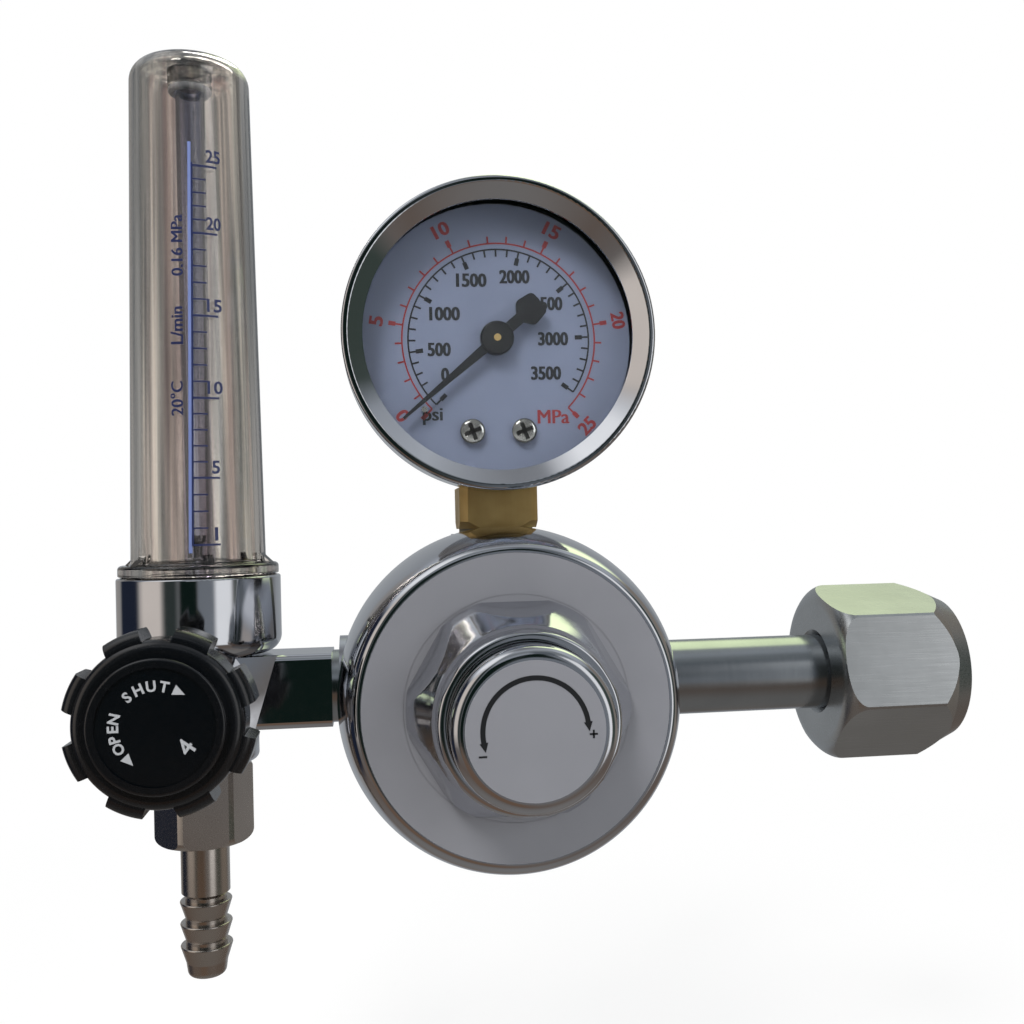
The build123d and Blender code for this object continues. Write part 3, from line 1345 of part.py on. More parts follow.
def make_valve_knob():
    """Knob with eight lobes, a raised ring round its label and a socket for the spindle."""
    label_floor = knob_label_floor()
    knob = turned(
        [
            (0, KNOB_BACK),
            (KNOB_HUB_R, KNOB_BACK, KNOB_HUB_ROUND),
            (KNOB_HUB_R, KNOB_BODY_BACK),
            (KNOB_VALLEY_R, KNOB_BODY_BACK, KNOB_BACK_ROUND),
            (KNOB_VALLEY_R, KNOB_BODY_FRONT, KNOB_FRONT_ROUND),
            (KNOB_RING_R, KNOB_BODY_FRONT),
            (KNOB_RING_R, KNOB_FACE, KNOB_RING_ROUND),
            (KNOB_LABEL_R, KNOB_FACE),
            (KNOB_LABEL_R, label_floor),
            (0, label_floor),
        ],
        VALVE_AXIS,
    )
    lobes = Sketch()
    for index in range(KNOB_LOBES):
        turn = LOBE_FIRST_ANGLE + 360 / KNOB_LOBES * index
        reach = KNOB_TIP_R + LOBE_ROUND
        lobe = Pos(reach / 2, 0) * RectangleRounded(reach, LOBE_WIDTH, LOBE_ROUND)
        lobes += Rot(Z=turn) * lobe
    lobes -= Circle(KNOB_RING_R)
    lobe_solid = flat_piece(lobes, FLOW_X, VALVE_Z, KNOB_BODY_FRONT, KNOB_BODY_BACK)
    lobe_solid &= turned(
        [
            (0, KNOB_BODY_BACK),
            (KNOB_TIP_R, KNOB_BODY_BACK, LOBE_BACK_ROUND),
            (KNOB_TIP_R, KNOB_BODY_FRONT + LOBE_SETBACK, LOBE_FRONT_ROUND),
            (0, KNOB_BODY_FRONT + LOBE_SETBACK),
        ],
        VALVE_AXIS,
    )
    knob += lobe_solid
    knob -= rod(VALVE_AXIS, SPINDLE_R + FIT_GAP, KNOB_BACK, SPINDLE_FRONT)
    knob -= rod(VALVE_AXIS, SCREW_R, SPINDLE_FRONT, label_floor)
    head_end = label_floor + KNOB_SCREW_HEAD_LENGTH
    return knob - rod(VALVE_AXIS, KNOB_SCREW_HEAD_R, label_floor, head_end)


def make_knob_label():
    """Round label in the knob's face."""
    front = KNOB_FACE + KNOB_LABEL_SETBACK
    return rod(VALVE_AXIS, KNOB_LABEL_R, front, front + KNOB_LABEL_THICKNESS)


def make_knob_screw():
    """Screw under the label that holds the knob on the spindle."""
    head_front = knob_label_floor()
    head_end = head_front + KNOB_SCREW_HEAD_LENGTH
    screw = rod(VALVE_AXIS, KNOB_SCREW_HEAD_R, head_front, head_end)
    screw_end = SPINDLE_FRONT + KNOB_SCREW_DEPTH - FACE_GAP
    return screw + rod(VALVE_AXIS, SCREW_R, head_end, screw_end)


# Flow meter


def make_flow_cover():
    """Clear tapered cover: screwed skirt, flange with ribs, domed top and the tube's socket."""
    skirt_bore_r = COVER_FOOT_R - CLEAR_WALL
    cover = turned(
        [
            (0, COVER_TOP),
            (COVER_SHOULDER_R, COVER_SHOULDER_Z, COVER_SHOULDER_ROUND),
            (COVER_FOOT_R, COVER_FLANGE_TOP, COVER_FOOT_ROUND),
            (COVER_FLANGE_R, COVER_FLANGE_TOP, FLANGE_TOP_ROUND),
            (COVER_FLANGE_R, COVER_FLANGE_BOTTOM, FLANGE_BOTTOM_ROUND),
            (COVER_SKIRT_R, COVER_FLANGE_BOTTOM),
            (COVER_SKIRT_R, COVER_SKIRT_BOTTOM),
            (skirt_bore_r, COVER_SKIRT_BOTTOM),
            (skirt_bore_r, COVER_FLANGE_TOP),
            (COVER_SHOULDER_R - CLEAR_WALL, COVER_TOP - TOP_WALL, CLEAR_WALL),
            (0, COVER_TOP - TOP_WALL),
        ],
        FLOW_AXIS,
    )
    rib_outline = Polygon(
        (COVER_FOOT_R - CLEAR_WALL / 2, COVER_FLANGE_TOP - FACE_GAP),
        (RIB_REACH, COVER_FLANGE_TOP - FACE_GAP),
        (RIB_REACH, COVER_FLANGE_TOP),
        (COVER_FOOT_R - CLEAR_WALL / 2, COVER_FLANGE_TOP + RIB_HEIGHT),
        align=None,
    )
    rib = Pos(0, RIB_WIDTH / 2, 0) * extrude(Plane.XZ * rib_outline, RIB_WIDTH)
    for index in range(COVER_RIBS):
        cover += FLOW_AXIS * Rot(Z=RIB_FIRST_ANGLE + 360 / COVER_RIBS * index) * rib
    ceiling = COVER_TOP - TOP_WALL
    cover += ring(FLOW_AXIS, METER_R + FIT_GAP, METER_SOCKET_R, METER_SOCKET_BOTTOM, ceiling)
    vent_z = METER_TOP + METER_VENT_R
    vent_axis = x_axis(0, vent_z)
    reach = METER_SOCKET_R + FACE_GAP
    return cover - rod(vent_axis, METER_VENT_R, FLOW_X - reach, FLOW_X + reach)


def make_cover_oring():
    """Seal between the cover's skirt and the cup."""
    circle_r = COVER_SKIRT_R + SEAL_R
    seal_z = CUP_TOP - SEAL_GROOVE_DEPTH + SEAL_R
    return FLOW_AXIS * Pos(0, 0, seal_z) * Torus(circle_r, SEAL_R)


def make_metering_tube():
    """Inner tube with a bore that widens upwards above the float's seat."""
    return turned(
        [
            (METER_INLET_R, METER_BOTTOM),
            (METER_R, METER_BOTTOM),
            (METER_R, METER_TOP),
            (METER_BORE_TOP_R, METER_TOP),
            (METER_BORE_BOTTOM_R, FLOAT_SEAT_Z),
            (METER_INLET_R, FLOAT_SEAT_Z),
        ],
        FLOW_AXIS,
    )


def make_tube_seal(height):
    """Ring of round section on the metering tube, at a height."""
    return FLOW_AXIS * Pos(0, 0, height) * Torus(TUBE_SEAL_CIRCLE_R, TUBE_SEAL_R)


def make_flow_float():
    """Float at the bottom of its travel, with a pointed foot and a head that reads the scale."""
    radius = METER_BORE_BOTTOM_R - RUNNING_GAP
    foot_r = METER_INLET_R + RUNNING_GAP
    top = FLOAT_SEAT_Z + FLOAT_LENGTH
    return turned(
        [
            (0, FLOAT_SEAT_Z),
            (foot_r, FLOAT_SEAT_Z),
            (foot_r, top - FLOAT_HEAD_LENGTH - (radius - foot_r)),
            (radius, top - FLOAT_HEAD_LENGTH),
            (radius, top),
            (0, top),
        ],
        FLOW_AXIS,
    )


# Outlet


def make_outlet_nut():
    """Hexagon nut with a web that draws the hose tail's flange."""
    nut = hexagon(
        FLOW_AXIS, OUTLET_NUT_ACROSS_FLATS, OUTLET_NUT_BOTTOM, OUTLET_NUT_TOP, OUTLET_NUT_TURN
    )
    nut &= turned(
        [
            (0, OUTLET_NUT_TOP),
            (OUTLET_NUT_CORNER_R, OUTLET_NUT_TOP, OUTLET_NUT_TOP_ROUND),
            (OUTLET_NUT_CORNER_R, OUTLET_NUT_BOTTOM, OUTLET_NUT_ROUND),
            (0, OUTLET_NUT_BOTTOM),
        ],
        FLOW_AXIS,
    )
    nut -= rod(FLOW_AXIS, OUTLET_SPIGOT_R + RUNNING_GAP, OUTLET_WEB_TOP, OUTLET_NUT_TOP)
    return nut - rod(FLOW_AXIS, TAIL_R + RUNNING_GAP, OUTLET_NUT_BOTTOM, OUTLET_WEB_TOP)


def make_hose_tail():
    """Hose tail: flange, plain shank, three barbs, rounded tip and a bore."""
    corners = [
        (TAIL_BORE_R, TAIL_FLANGE_TOP),
        (TAIL_FLANGE_R, TAIL_FLANGE_TOP),
        (TAIL_FLANGE_R, OUTLET_WEB_TOP + FACE_GAP),
        (TAIL_R, OUTLET_WEB_TOP + FACE_GAP),
        (TAIL_R, TAIL_PLAIN_BOTTOM),
        (BARB_ROOT_R, TAIL_PLAIN_BOTTOM - (TAIL_R - BARB_ROOT_R)),
    ]
    for index in range(BARB_COUNT):
        crest = TAIL_PLAIN_BOTTOM - BARB_FIRST_DOWN - BARB_PITCH * index
        corners.append((BARB_ROOT_R, crest))
        corners.append((BARB_R, crest, BARB_EDGE_ROUND))
        corners.append((BARB_ROOT_R, crest - BARB_LENGTH))
    corners.append((TAIL_TIP_R, TAIL_BOTTOM, TAIL_TIP_ROUND))
    corners.append((TAIL_BORE_R, TAIL_BOTTOM))
    return turned(corners, FLOW_AXIS)


def make_outlet_washer():
    """Flat washer between the spigot and the hose tail."""
    return ring(FLOW_AXIS, TAIL_BORE_R, TAIL_FLANGE_R, TAIL_FLANGE_TOP, OUTLET_SPIGOT_BOTTOM)


PIECES = {
    "inlet_nut": make_inlet_nut,
    "inlet_stem": make_inlet_stem,
    "inlet_washer": make_inlet_washer,
    "inlet_filter": make_inlet_filter,
    "regulator_body": make_regulator_body,
    "valve_nozzle": make_valve_nozzle,
    "valve_poppet": make_valve_poppet,
    "poppet_spring": make_poppet_spring,
    "diaphragm": make_diaphragm,
    "slip_ring": make_slip_ring,
    "diaphragm_plate": make_diaphragm_plate,
    "bonnet": make_bonnet,
    "bonnet_label": make_bonnet_label,
    "adjusting_cap": make_adjusting_cap,
    "cap_label": make_cap_label,
    "spring_button": make_spring_button,
    "main_spring": make_main_spring,
    "heater_element": make_heater_element,
    "heater_cover": make_heater_cover,
    "heater_screws": make_heater_screws,
    "cable_gland": make_cable_gland,
    "gauge_socket": make_gauge_socket,
    "gauge_gasket": make_gauge_gasket,
    "gauge_case": make_gauge_case,
    "case_screws": make_case_screws,
    "gauge_bezel": make_gauge_bezel,
    "gauge_lens": make_gauge_lens,
    "lens_gasket": make_lens_gasket,
    "gauge_dial": make_gauge_dial,
    "dial_screws": make_dial_screws,
    "pointer_stop": make_pointer_stop,
    "gauge_pointer": make_gauge_pointer,
    "gauge_pinion": make_gauge_pinion,
    "sector_gear": make_sector_gear,
    "gauge_link": make_gauge_link,
    "movement_plate_front": make_movement_plate_front,
    "movement_plate_rear": make_movement_plate_rear,
    "bourdon_tube": make_bourdon_tube,
    "flow_body": make_flow_body,
    "arm_washer": make_arm_washer,
    "gland_nut": make_gland_nut,
    "gland_packing": make_gland_packing,
    "needle_spindle": make_needle_spindle,
    "valve_knob": make_valve_knob,
    "knob_label": make_knob_label,
    "knob_screw": make_knob_screw,
    "flow_cover": make_flow_cover,
    "cover_oring": make_cover_oring,
    "metering_tube": make_metering_tube,
    "tube_seal_lower": lambda: make_tube_seal(TUBE_SEAL_SEAT_Z + TUBE_SEAL_R),
    "tube_seal_upper": lambda: make_tube_seal(METER_SOCKET_BOTTOM - TUBE_SEAL_R),
    "flow_float": make_flow_float,
    "outlet_nut": make_outlet_nut,
    "hose_tail": make_hose_tail,
    "outlet_washer": make_outlet_washer,
}


os.makedirs("parts", exist_ok=True)
for name, make_piece in PIECES.items():
    piece = make_piece()
    piece.label = name
    export_step(piece, f"parts/{name}.step")
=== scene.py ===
"""Looks of a carbon dioxide flowmeter regulator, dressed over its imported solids."""

import json
import logging
from collections.abc import Callable, Sequence
from dataclasses import dataclass, field
from enum import Enum
from typing import ClassVar

import bpy
import numpy as np
from mathutils import Matrix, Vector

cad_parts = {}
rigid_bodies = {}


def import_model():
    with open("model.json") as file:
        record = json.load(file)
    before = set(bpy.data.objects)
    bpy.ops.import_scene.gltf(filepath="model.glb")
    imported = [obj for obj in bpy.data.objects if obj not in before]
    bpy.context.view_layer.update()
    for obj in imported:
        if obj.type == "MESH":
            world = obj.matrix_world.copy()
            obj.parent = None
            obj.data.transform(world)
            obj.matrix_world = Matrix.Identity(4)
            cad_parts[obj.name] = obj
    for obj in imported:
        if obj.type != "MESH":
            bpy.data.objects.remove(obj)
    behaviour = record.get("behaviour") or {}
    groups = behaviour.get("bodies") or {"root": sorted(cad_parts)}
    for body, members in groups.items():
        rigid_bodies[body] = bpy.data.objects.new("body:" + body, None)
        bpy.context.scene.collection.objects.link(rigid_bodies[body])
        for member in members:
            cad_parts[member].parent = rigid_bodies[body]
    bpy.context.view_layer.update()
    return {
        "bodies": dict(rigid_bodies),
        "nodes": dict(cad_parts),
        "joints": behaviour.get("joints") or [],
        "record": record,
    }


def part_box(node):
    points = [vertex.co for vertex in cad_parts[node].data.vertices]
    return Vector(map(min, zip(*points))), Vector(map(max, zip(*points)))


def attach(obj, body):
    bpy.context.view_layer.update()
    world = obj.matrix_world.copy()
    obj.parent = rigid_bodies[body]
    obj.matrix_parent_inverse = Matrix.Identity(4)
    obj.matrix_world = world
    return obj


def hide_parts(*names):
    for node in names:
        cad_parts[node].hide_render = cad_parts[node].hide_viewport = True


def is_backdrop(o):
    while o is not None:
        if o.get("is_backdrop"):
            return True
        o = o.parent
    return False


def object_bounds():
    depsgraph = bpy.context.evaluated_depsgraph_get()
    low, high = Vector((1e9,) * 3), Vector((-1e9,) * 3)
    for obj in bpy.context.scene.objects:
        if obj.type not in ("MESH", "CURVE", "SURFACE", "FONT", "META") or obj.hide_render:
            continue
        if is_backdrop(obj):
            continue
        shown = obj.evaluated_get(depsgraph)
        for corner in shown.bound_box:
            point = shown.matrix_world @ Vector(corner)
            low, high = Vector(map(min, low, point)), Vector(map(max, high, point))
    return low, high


MM = 0.001
LOG = logging.getLogger("regulator")
Surface = Callable[[np.ndarray, np.ndarray, np.ndarray], np.ndarray]
Socket = bpy.types.NodeSocket
# Numbers of the colour sockets on the mix node.
MIX_FIRST, MIX_SECOND, MIX_RESULT = 6, 7, 2
# Reach of nearly all of a noise pattern's values.
NOISE_LEAST, NOISE_MOST = 0.3, 0.7
WHITE = (1.0, 1.0, 1.0, 1.0)


class Lay(Enum):
    """Way in which the fine marks of a surface run, as a stretch of their pattern on X, Y and Z."""

    CAST = (1.0, 1.0, 1.0)
    TURNED_ABOUT_X = (1.0, 0.04, 0.04)
    TURNED_ABOUT_Y = (0.04, 1.0, 0.04)
    DRAWN_ALONG_X = (0.02, 1.0, 1.0)
    DRAWN_ALONG_Z = (1.0, 1.0, 0.02)


def linear(colour: str) -> tuple[float, float, float, float]:
    """Turn an sRGB hex colour into Blender's linear values.

    Args:
        colour: Six hex digits after a hash.

    Returns:
        Red, green, blue and an alpha of 1.
    """
    share = np.array([int(colour[k : k + 2], 16) for k in (1, 3, 5)]) / 255.0
    light = np.where(share <= 0.04045, share / 12.92, ((share + 0.055) / 1.055) ** 2.4)
    return (*(float(value) for value in light), 1.0)


def node(
    tree: bpy.types.NodeTree, kind: str, values: dict | None = None, links: dict | None = None
) -> bpy.types.Node:
    """Add a node with its settings and links.

    Args:
        tree: Node tree that gets the node.
        kind: Blender's name of the node type.
        values: Settings, by property name, or by the name or number of an input.
        links: Output socket for each linked input, by the input's name or number.

    Returns:
        The node.
    """
    made = tree.nodes.new(kind)
    for key, value in (values or {}).items():
        if isinstance(key, str) and hasattr(made, key):
            setattr(made, key, value)
        else:
            made.inputs[key].default_value = value
    for key, socket in (links or {}).items():
        tree.links.new(socket, made.inputs[key])
    return made


def stretched(tree: bpy.types.NodeTree, lay: Lay, size_mm: float) -> Socket:
    """Give the object's coordinates, scaled so that one unit of pattern has a real size.

    Args:
        tree: Node tree of the material.
        lay: Way in which the pattern runs.
        size_mm: Real size of one unit of the pattern, across the marks.

    Returns:
        The vector that a texture reads.
    """
    place = node(tree, "ShaderNodeTexCoord")
    scale = tuple(part / (size_mm * MM) for part in lay.value)
    mapping = node(tree, "ShaderNodeMapping", {"Scale": scale}, {"Vector": place.outputs["Object"]})
    return mapping.outputs["Vector"]


def fresh_tree(name: str) -> tuple[bpy.types.Material, bpy.types.NodeTree]:
    """Make a material with an empty node tree, and return both."""
    material = bpy.data.materials.new(name)
    material.use_nodes = True
    material.node_tree.nodes.clear()
    return material, material.node_tree


@dataclass(frozen=True)
class Finish:
    """What every finish has: its name, its colour, the tint that it wanders to and its roughness."""

    name: str
    colour: str
    tint: str
    roughness: float

    def shader(self, tree: bpy.types.NodeTree) -> bpy.types.Node:
        """Build the finish's nodes and return the last one."""
        raise NotImplementedError

    def material(self) -> bpy.types.Material:
        """Build the finish and return its material."""
        material, tree = fresh_tree(self.name)
        node(tree, "ShaderNodeOutputMaterial", None, {"Surface": self.shader(tree).outputs[0]})
        return material


@dataclass(frozen=True)
class Opaque(Finish):
    """Finish with fine marks and a slow change of tint, on a surface that lets no light through."""

    wander: float = 0.03
    tint_mm: float = 14.0

    def surface(
        self,
        tree: bpy.types.NodeTree,
        marks: bpy.types.Node,
        reliefs: Sequence[tuple[bpy.types.Node, float]],
        values: dict[str, float],
    ) -> bpy.types.Node:
        """Join the marks, the reliefs and the change of tint on one shader.

        The tint's share is a slow noise. The roughness lies as far above or below its middle as
        the marks' value does, by its wander at most. Each relief bumps the one before it.

        Args:
            tree: Node tree of the material.
            marks: Noise that the roughness follows.
            reliefs: Noise and depth in millimetres of each bump.
            values: Settings of the shader.

        Returns:
            The shader's node.
        """
        slow = node(
            tree,
            "ShaderNodeTexNoise",
            {"Scale": 1.0, "Detail": 2.0},
            {"Vector": stretched(tree, Lay.CAST, self.tint_mm)},
        )
        mix = node(
            tree,
            "ShaderNodeMix",
            {"data_type": "RGBA", MIX_FIRST: linear(self.colour), MIX_SECOND: linear(self.tint)},
            {0: slow.outputs[0]},
        )
        reach = {
            "From Min": NOISE_LEAST,
            "From Max": NOISE_MOST,
            "To Min": max(self.roughness - self.wander, 0.01),
            "To Max": min(self.roughness + self.wander, 1.0),
        }
        gloss = node(tree, "ShaderNodeMapRange", reach, {"Value": marks.outputs[0]})
        links = {"Base Color": mix.outputs[MIX_RESULT], "Roughness": gloss.outputs[0]}
        under = {}
        for height, depth_mm in reliefs:
            depth = {"Strength": 1.0, "Distance": depth_mm * MM}
            bump = node(tree, "ShaderNodeBump", depth, {"Height": height.outputs[0], **under})
            under = {"Normal": bump.outputs[0]}
        return node(tree, "ShaderNodeBsdfPrincipled", values, {**links, **under})


@dataclass(frozen=True)
class Metal(Opaque):
    """Metal with fine marks, a slow waviness and a slow change of tint."""

    lay: Lay = Lay.CAST
    mark_mm: float = 0.3
    mark_depth_mm: float = 0.001
    wave_mm: float = 2.5
    wave_depth_mm: float = 0.0
    metallic: float = 1.0

    def shader(self, tree: bpy.types.NodeTree) -> bpy.types.Node:
        """Build the finish's nodes and return the last one."""
        marks = node(
            tree,
            "ShaderNodeTexNoise",
            {"Scale": 1.0, "Detail": 4.0, "Roughness": 0.6},
            {"Vector": stretched(tree, self.lay, self.mark_mm)},
        )
        wave = node(
            tree,
            "ShaderNodeTexNoise",
            {"Scale": 1.0, "Detail": 1.0},
            {"Vector": stretched(tree, Lay.CAST, self.wave_mm)},
        )
        reliefs = ((marks, self.mark_depth_mm), (wave, self.wave_depth_mm))
        return self.surface(tree, marks, reliefs, {"Metallic": self.metallic})


@dataclass(frozen=True)
class Solid(Opaque):
    """Paint, ink, plastic, rubber or fibre with a fine grain and a slow change of tint."""

    grain_mm: float = 0.4
    grain_depth_mm: float = 0.002
    wander: float = 0.05
    tint_mm: float = 8.0
    coat: float = 0.0
    coat_roughness: float = 0.08

    def shader(self, tree: bpy.types.NodeTree) -> bpy.types.Node:
        """Build the finish's nodes and return the last one."""
        grain = node(
            tree,
            "ShaderNodeTexNoise",
            {"Scale": 1.0, "Detail": 3.0},
            {"Vector": stretched(tree, Lay.CAST, self.grain_mm)},
        )
        values = {"Coat Weight": self.coat, "Coat Roughness": self.coat_roughness}
        return self.surface(tree, grain, [(grain, self.grain_depth_mm)], values)


@dataclass(frozen=True)
class Clear(Finish):
    """Clear plastic or glass that lets light through, with streaks of two tints along its lay. On the cover
    the streaks are painted reflections and painted shade.
    """

    cast: str
    ior: float = 1.49
    lay: Lay = Lay.DRAWN_ALONG_Z
    streak_mm: float = 2.4
    cast_mm: float = 5.0
    ripple_mm: float = 6.0
    ripple_depth_mm: float = 0.0
    shade: str = "#DADADA"
    streak_reach: tuple[float, float] = (0.38, 0.62)
    cast_reach: tuple[float, float] = (0.5, 0.78)

    def shader(self, tree: bpy.types.NodeTree) -> bpy.types.Node:
        """Build the finish's nodes and return the last one.

        A noise's value between the ends of its reach is the share of the tint, and then of the
        cast, over what lies under it.

        Args:
            tree: Node tree of the material.

        Returns:
            The last node, which mixes the clear shader with the one that shadows see.
        """
        tone, under = {MIX_FIRST: linear(self.colour)}, {}
        # On the cover these two streak layers are painted reflections and painted shade.
        layers = ((self.streak_mm, self.tint, self.streak_reach), (self.cast_mm, self.cast, self.cast_reach))
        for size_mm, tint, (least, most) in layers:
            pattern = node(
                tree,
                "ShaderNodeTexNoise",
                {"Scale": 1.0, "Detail": 2.0},
                {"Vector": stretched(tree, self.lay, size_mm)},
            )
            reach = {"From Min": least, "From Max": most}
            share = node(tree, "ShaderNodeMapRange", reach, {"Value": pattern.outputs[0]})
            values = {"data_type": "RGBA", MIX_SECOND: linear(tint), **tone}
            mix = node(tree, "ShaderNodeMix", values, {0: share.outputs[0], **under})
            tone, under = {}, {MIX_FIRST: mix.outputs[MIX_RESULT]}
        ripple = node(
            tree,
            "ShaderNodeTexNoise",
            {"Scale": 1.0, "Detail": 1.0},
            {"Vector": stretched(tree, self.lay, self.ripple_mm)},
        )
        depth = {"Strength": 1.0, "Distance": self.ripple_depth_mm * MM}
        bump = node(tree, "ShaderNodeBump", depth, {"Height": ripple.outputs[0]})
        clear = node(
            tree,
            "ShaderNodeBsdfPrincipled",
            {"Transmission Weight": 1.0, "IOR": self.ior, "Roughness": self.roughness},
            {"Base Color": mix.outputs[MIX_RESULT], "Normal": bump.outputs[0]},
        )
        # Light that only casts shadows goes straight through, because the renderer has no caustics.
        path = node(tree, "ShaderNodeLightPath")
        through = node(tree, "ShaderNodeBsdfTransparent", {"Color": linear(self.shade)})
        links = {0: path.outputs["Is Shadow Ray"], 1: clear.outputs[0], 2: through.outputs[0]}
        return node(tree, "ShaderNodeMixShader", None, links)


# Chrome plate on a polished casting: a cool mirror with a faint orange peel.
CHROME = Metal(
    "chrome_plate",
    "#C9CBD0",
    "#B8BABF",
    roughness=0.09,
    mark_mm=1.5,
    mark_depth_mm=0.00004,
    wave_mm=9.0,
    wave_depth_mm=0.002,
    wander=0.02,
)
# Chrome on turned brass: the tool's rings still show as a faint silk.
TURNED_CHROME = Metal(
    "turned_chrome",
    "#C4C6CB",
    "#AEB0B6",
    roughness=0.12,
    lay=Lay.TURNED_ABOUT_Y,
    mark_mm=0.25,
    mark_depth_mm=0.0008,
    wave_mm=3.0,
    wave_depth_mm=0.004,
)
# Satin nickel on the union nut: drawn lines and small dents break the reflection.
NUT_NICKEL = Metal(
    "satin_nickel_nut",
    "#B9BCBE",
    "#A2A5A6",
    roughness=0.30,
    lay=Lay.DRAWN_ALONG_X,
    mark_mm=0.22,
    mark_depth_mm=0.002,
    wave_mm=3.5,
    wave_depth_mm=0.02,
    wander=0.05,
)
# Satin nickel on the turned pipe: fine rings give one soft band of light along it.
PIPE_NICKEL = Metal(
    "satin_nickel_pipe",
    "#AEB2B6",
    "#8F9498",
    roughness=0.22,
    lay=Lay.TURNED_ABOUT_X,
    mark_mm=0.2,
    mark_depth_mm=0.0015,
    wave_mm=4.0,
    wave_depth_mm=0.006,
    wander=0.04,
)
# Satin nickel on the outlet nut and the hose tail: a warm grey with an even fine grain.
TAIL_NICKEL = Metal(
    "satin_nickel_tail",
    "#C4BEB8",
    "#ACA59F",
    roughness=0.24,
    mark_depth_mm=0.0012,
    wave_mm=4.0,
    wave_depth_mm=0.008,
    wander=0.05,
)
# Drawn stainless steel of the gauge's case: lines run round it.
CASE_STEEL = Metal(
    "drawn_steel",
    "#B6B8BC",
    "#9FA1A6",
    roughness=0.26,
    lay=Lay.TURNED_ABOUT_Y,
    mark_depth_mm=0.0015,
    wave_mm=5.0,
    wave_depth_mm=0.006,
    wander=0.05,
)
# Bright nickel on small screws.
SCREW_STEEL = Metal(
    "nickel_screw", "#BDBBB6", "#9C9A96", roughness=0.2, mark_mm=0.2, wave_mm=1.0, wave_depth_mm=0.004
)
# Painted shade: dark steel laid on the floor of a screw's cross, standing in for the shadow in its recess.
CROSS_PAINTED_SHADE = Metal(
    "painted_cross_shade", "#3B3A38", "#2C2B2A", roughness=0.5, mark_mm=0.2, mark_depth_mm=0.002, wave_mm=1.0
)
# Machined brass: milled upright lines and a slight tarnish.
BRASS = Metal(
    "machined_brass",
    "#D2B67C",
    "#A88B55",
    roughness=0.5,
    lay=Lay.DRAWN_ALONG_Z,
    mark_depth_mm=0.004,
    wave_mm=2.0,
    wave_depth_mm=0.006,
    wander=0.06,
    tint_mm=5.0,
    metallic=0.8,
)
# Sintered bronze: a grainy dull filter.
SINTERED = Metal(
    "sintered_bronze",
    "#8F7347",
    "#6B5430",
    roughness=0.6,
    mark_mm=0.25,
    mark_depth_mm=0.03,
    wave_mm=1.0,
    wave_depth_mm=0.01,
    wander=0.1,
)
# Hard-drawn spring wire: a dull grey.
SPRING_WIRE = Metal("spring_wire", "#8C8C90", "#6E6E72", roughness=0.3)
# Silver print under a clear film: flat, pale and barely glossy.
LABEL = Solid(
    "silver_print",
    "#7F8086",
    "#76777D",
    roughness=0.42,
    grain_mm=0.25,
    grain_depth_mm=0.0008,
    wander=0.04,
    tint_mm=12.0,
    coat=0.25,
    coat_roughness=0.22,
)
# Printed enamel of the dial, without shine. Its blue-grey is darker than the dial's own white: painted shade
# of the dial lying in shade.
ENAMEL_WITH_PAINTED_SHADE = Solid(
    "dial_enamel",
    "#757C92",
    "#6E758B",
    roughness=0.55,
    grain_mm=0.2,
    grain_depth_mm=0.0001,
    wander=0.03,
    tint_mm=15.0,
)
# Matt black paint on the pointer.
POINTER_PAINT = Solid(
    "pointer_paint", "#0A0C10", "#0F1115", roughness=0.5, grain_mm=0.15, grain_depth_mm=0.001
)
# Screen inks, slightly raised and dull. The pale blue one is the band behind the flow scale.
BLACK_INK = Solid("black_ink", "#0E1013", "#15171B", roughness=0.5, grain_mm=0.12, grain_depth_mm=0.001)
RED_INK = Solid("red_ink", "#8E2B2E", "#7F2529", roughness=0.5, grain_mm=0.12, grain_depth_mm=0.001)
BLUE_INK = Solid("blue_ink", "#1A2145", "#232B52", roughness=0.4, grain_mm=0.12, grain_depth_mm=0.001)
PALE_BLUE_INK = Solid(
    "pale_blue_ink", "#6F7DAE", "#6674A6", roughness=0.4, grain_mm=0.12, grain_depth_mm=0.001
)
WHITE_INK = Solid("white_ink", "#A4A6A9", "#97999D", roughness=0.45, grain_mm=0.12, grain_depth_mm=0.001)
# Black phenolic knob, glossy from its mould, with a faint waviness.
KNOB = Solid(
    "moulded_phenolic",
    "#06080B",
    "#090B0F",
    roughness=0.24,
    grain_mm=0.8,
    wander=0.04,
    tint_mm=10.0,
    coat=0.15,
    coat_roughness=0.12,
)
# Black film in the knob's face, glossier than the knob.
KNOB_FACE = Solid(
    "gloss_film",
    "#03060A",
    "#05080C",
    roughness=0.22,
    grain_mm=0.8,
    grain_depth_mm=0.001,
    wander=0.03,
    tint_mm=10.0,
    coat=0.1,
    coat_roughness=0.1,
)
# Black nylon of the rear cover and the cable outlet: a fine spark-eroded grain.
NYLON = Solid(
    "black_nylon", "#141518", "#1B1C1F", roughness=0.5, grain_mm=0.35, grain_depth_mm=0.012, wander=0.06
)
# Nitrile rubber of the seals: dull black.
RUBBER = Solid("nitrile_rubber", "#0E0E0F", "#161616", roughness=0.6, grain_mm=0.3, grain_depth_mm=0.004)
# Pressed fibre washers and packing: warm and porous.
FIBRE = Solid("pressed_fibre", "#A39A87", "#8F8672", roughness=0.85, grain_depth_mm=0.02)
# Clear silicone of the upper tube seal: pale and milky.
SILICONE = Solid("milky_silicone", "#AEB1B8", "#A2A5AD", roughness=0.5, grain_mm=0.3)
# Fired ceramic of the heater: pale and dull.
CERAMIC = Solid("fired_ceramic", "#C9C4B8", "#BAB4A6", roughness=0.7, grain_mm=0.5, grain_depth_mm=0.01)
# Polycarbonate cover: clear. Its grey and pink-brown streaks along it, over a cream base, are painted
# reflections of what lies around and inside it, and painted shade that makes it greyer.
COVER_PLASTIC = Clear(
    "polycarbonate_painted_reflections",
    "#EFEAE2",
    "#858787",
    roughness=0.04,
    cast="#B0928E",
    ior=1.58,
    streak_mm=2.1,
    cast_mm=4.6,
    ripple_mm=5.0,
    ripple_depth_mm=0.03,
)
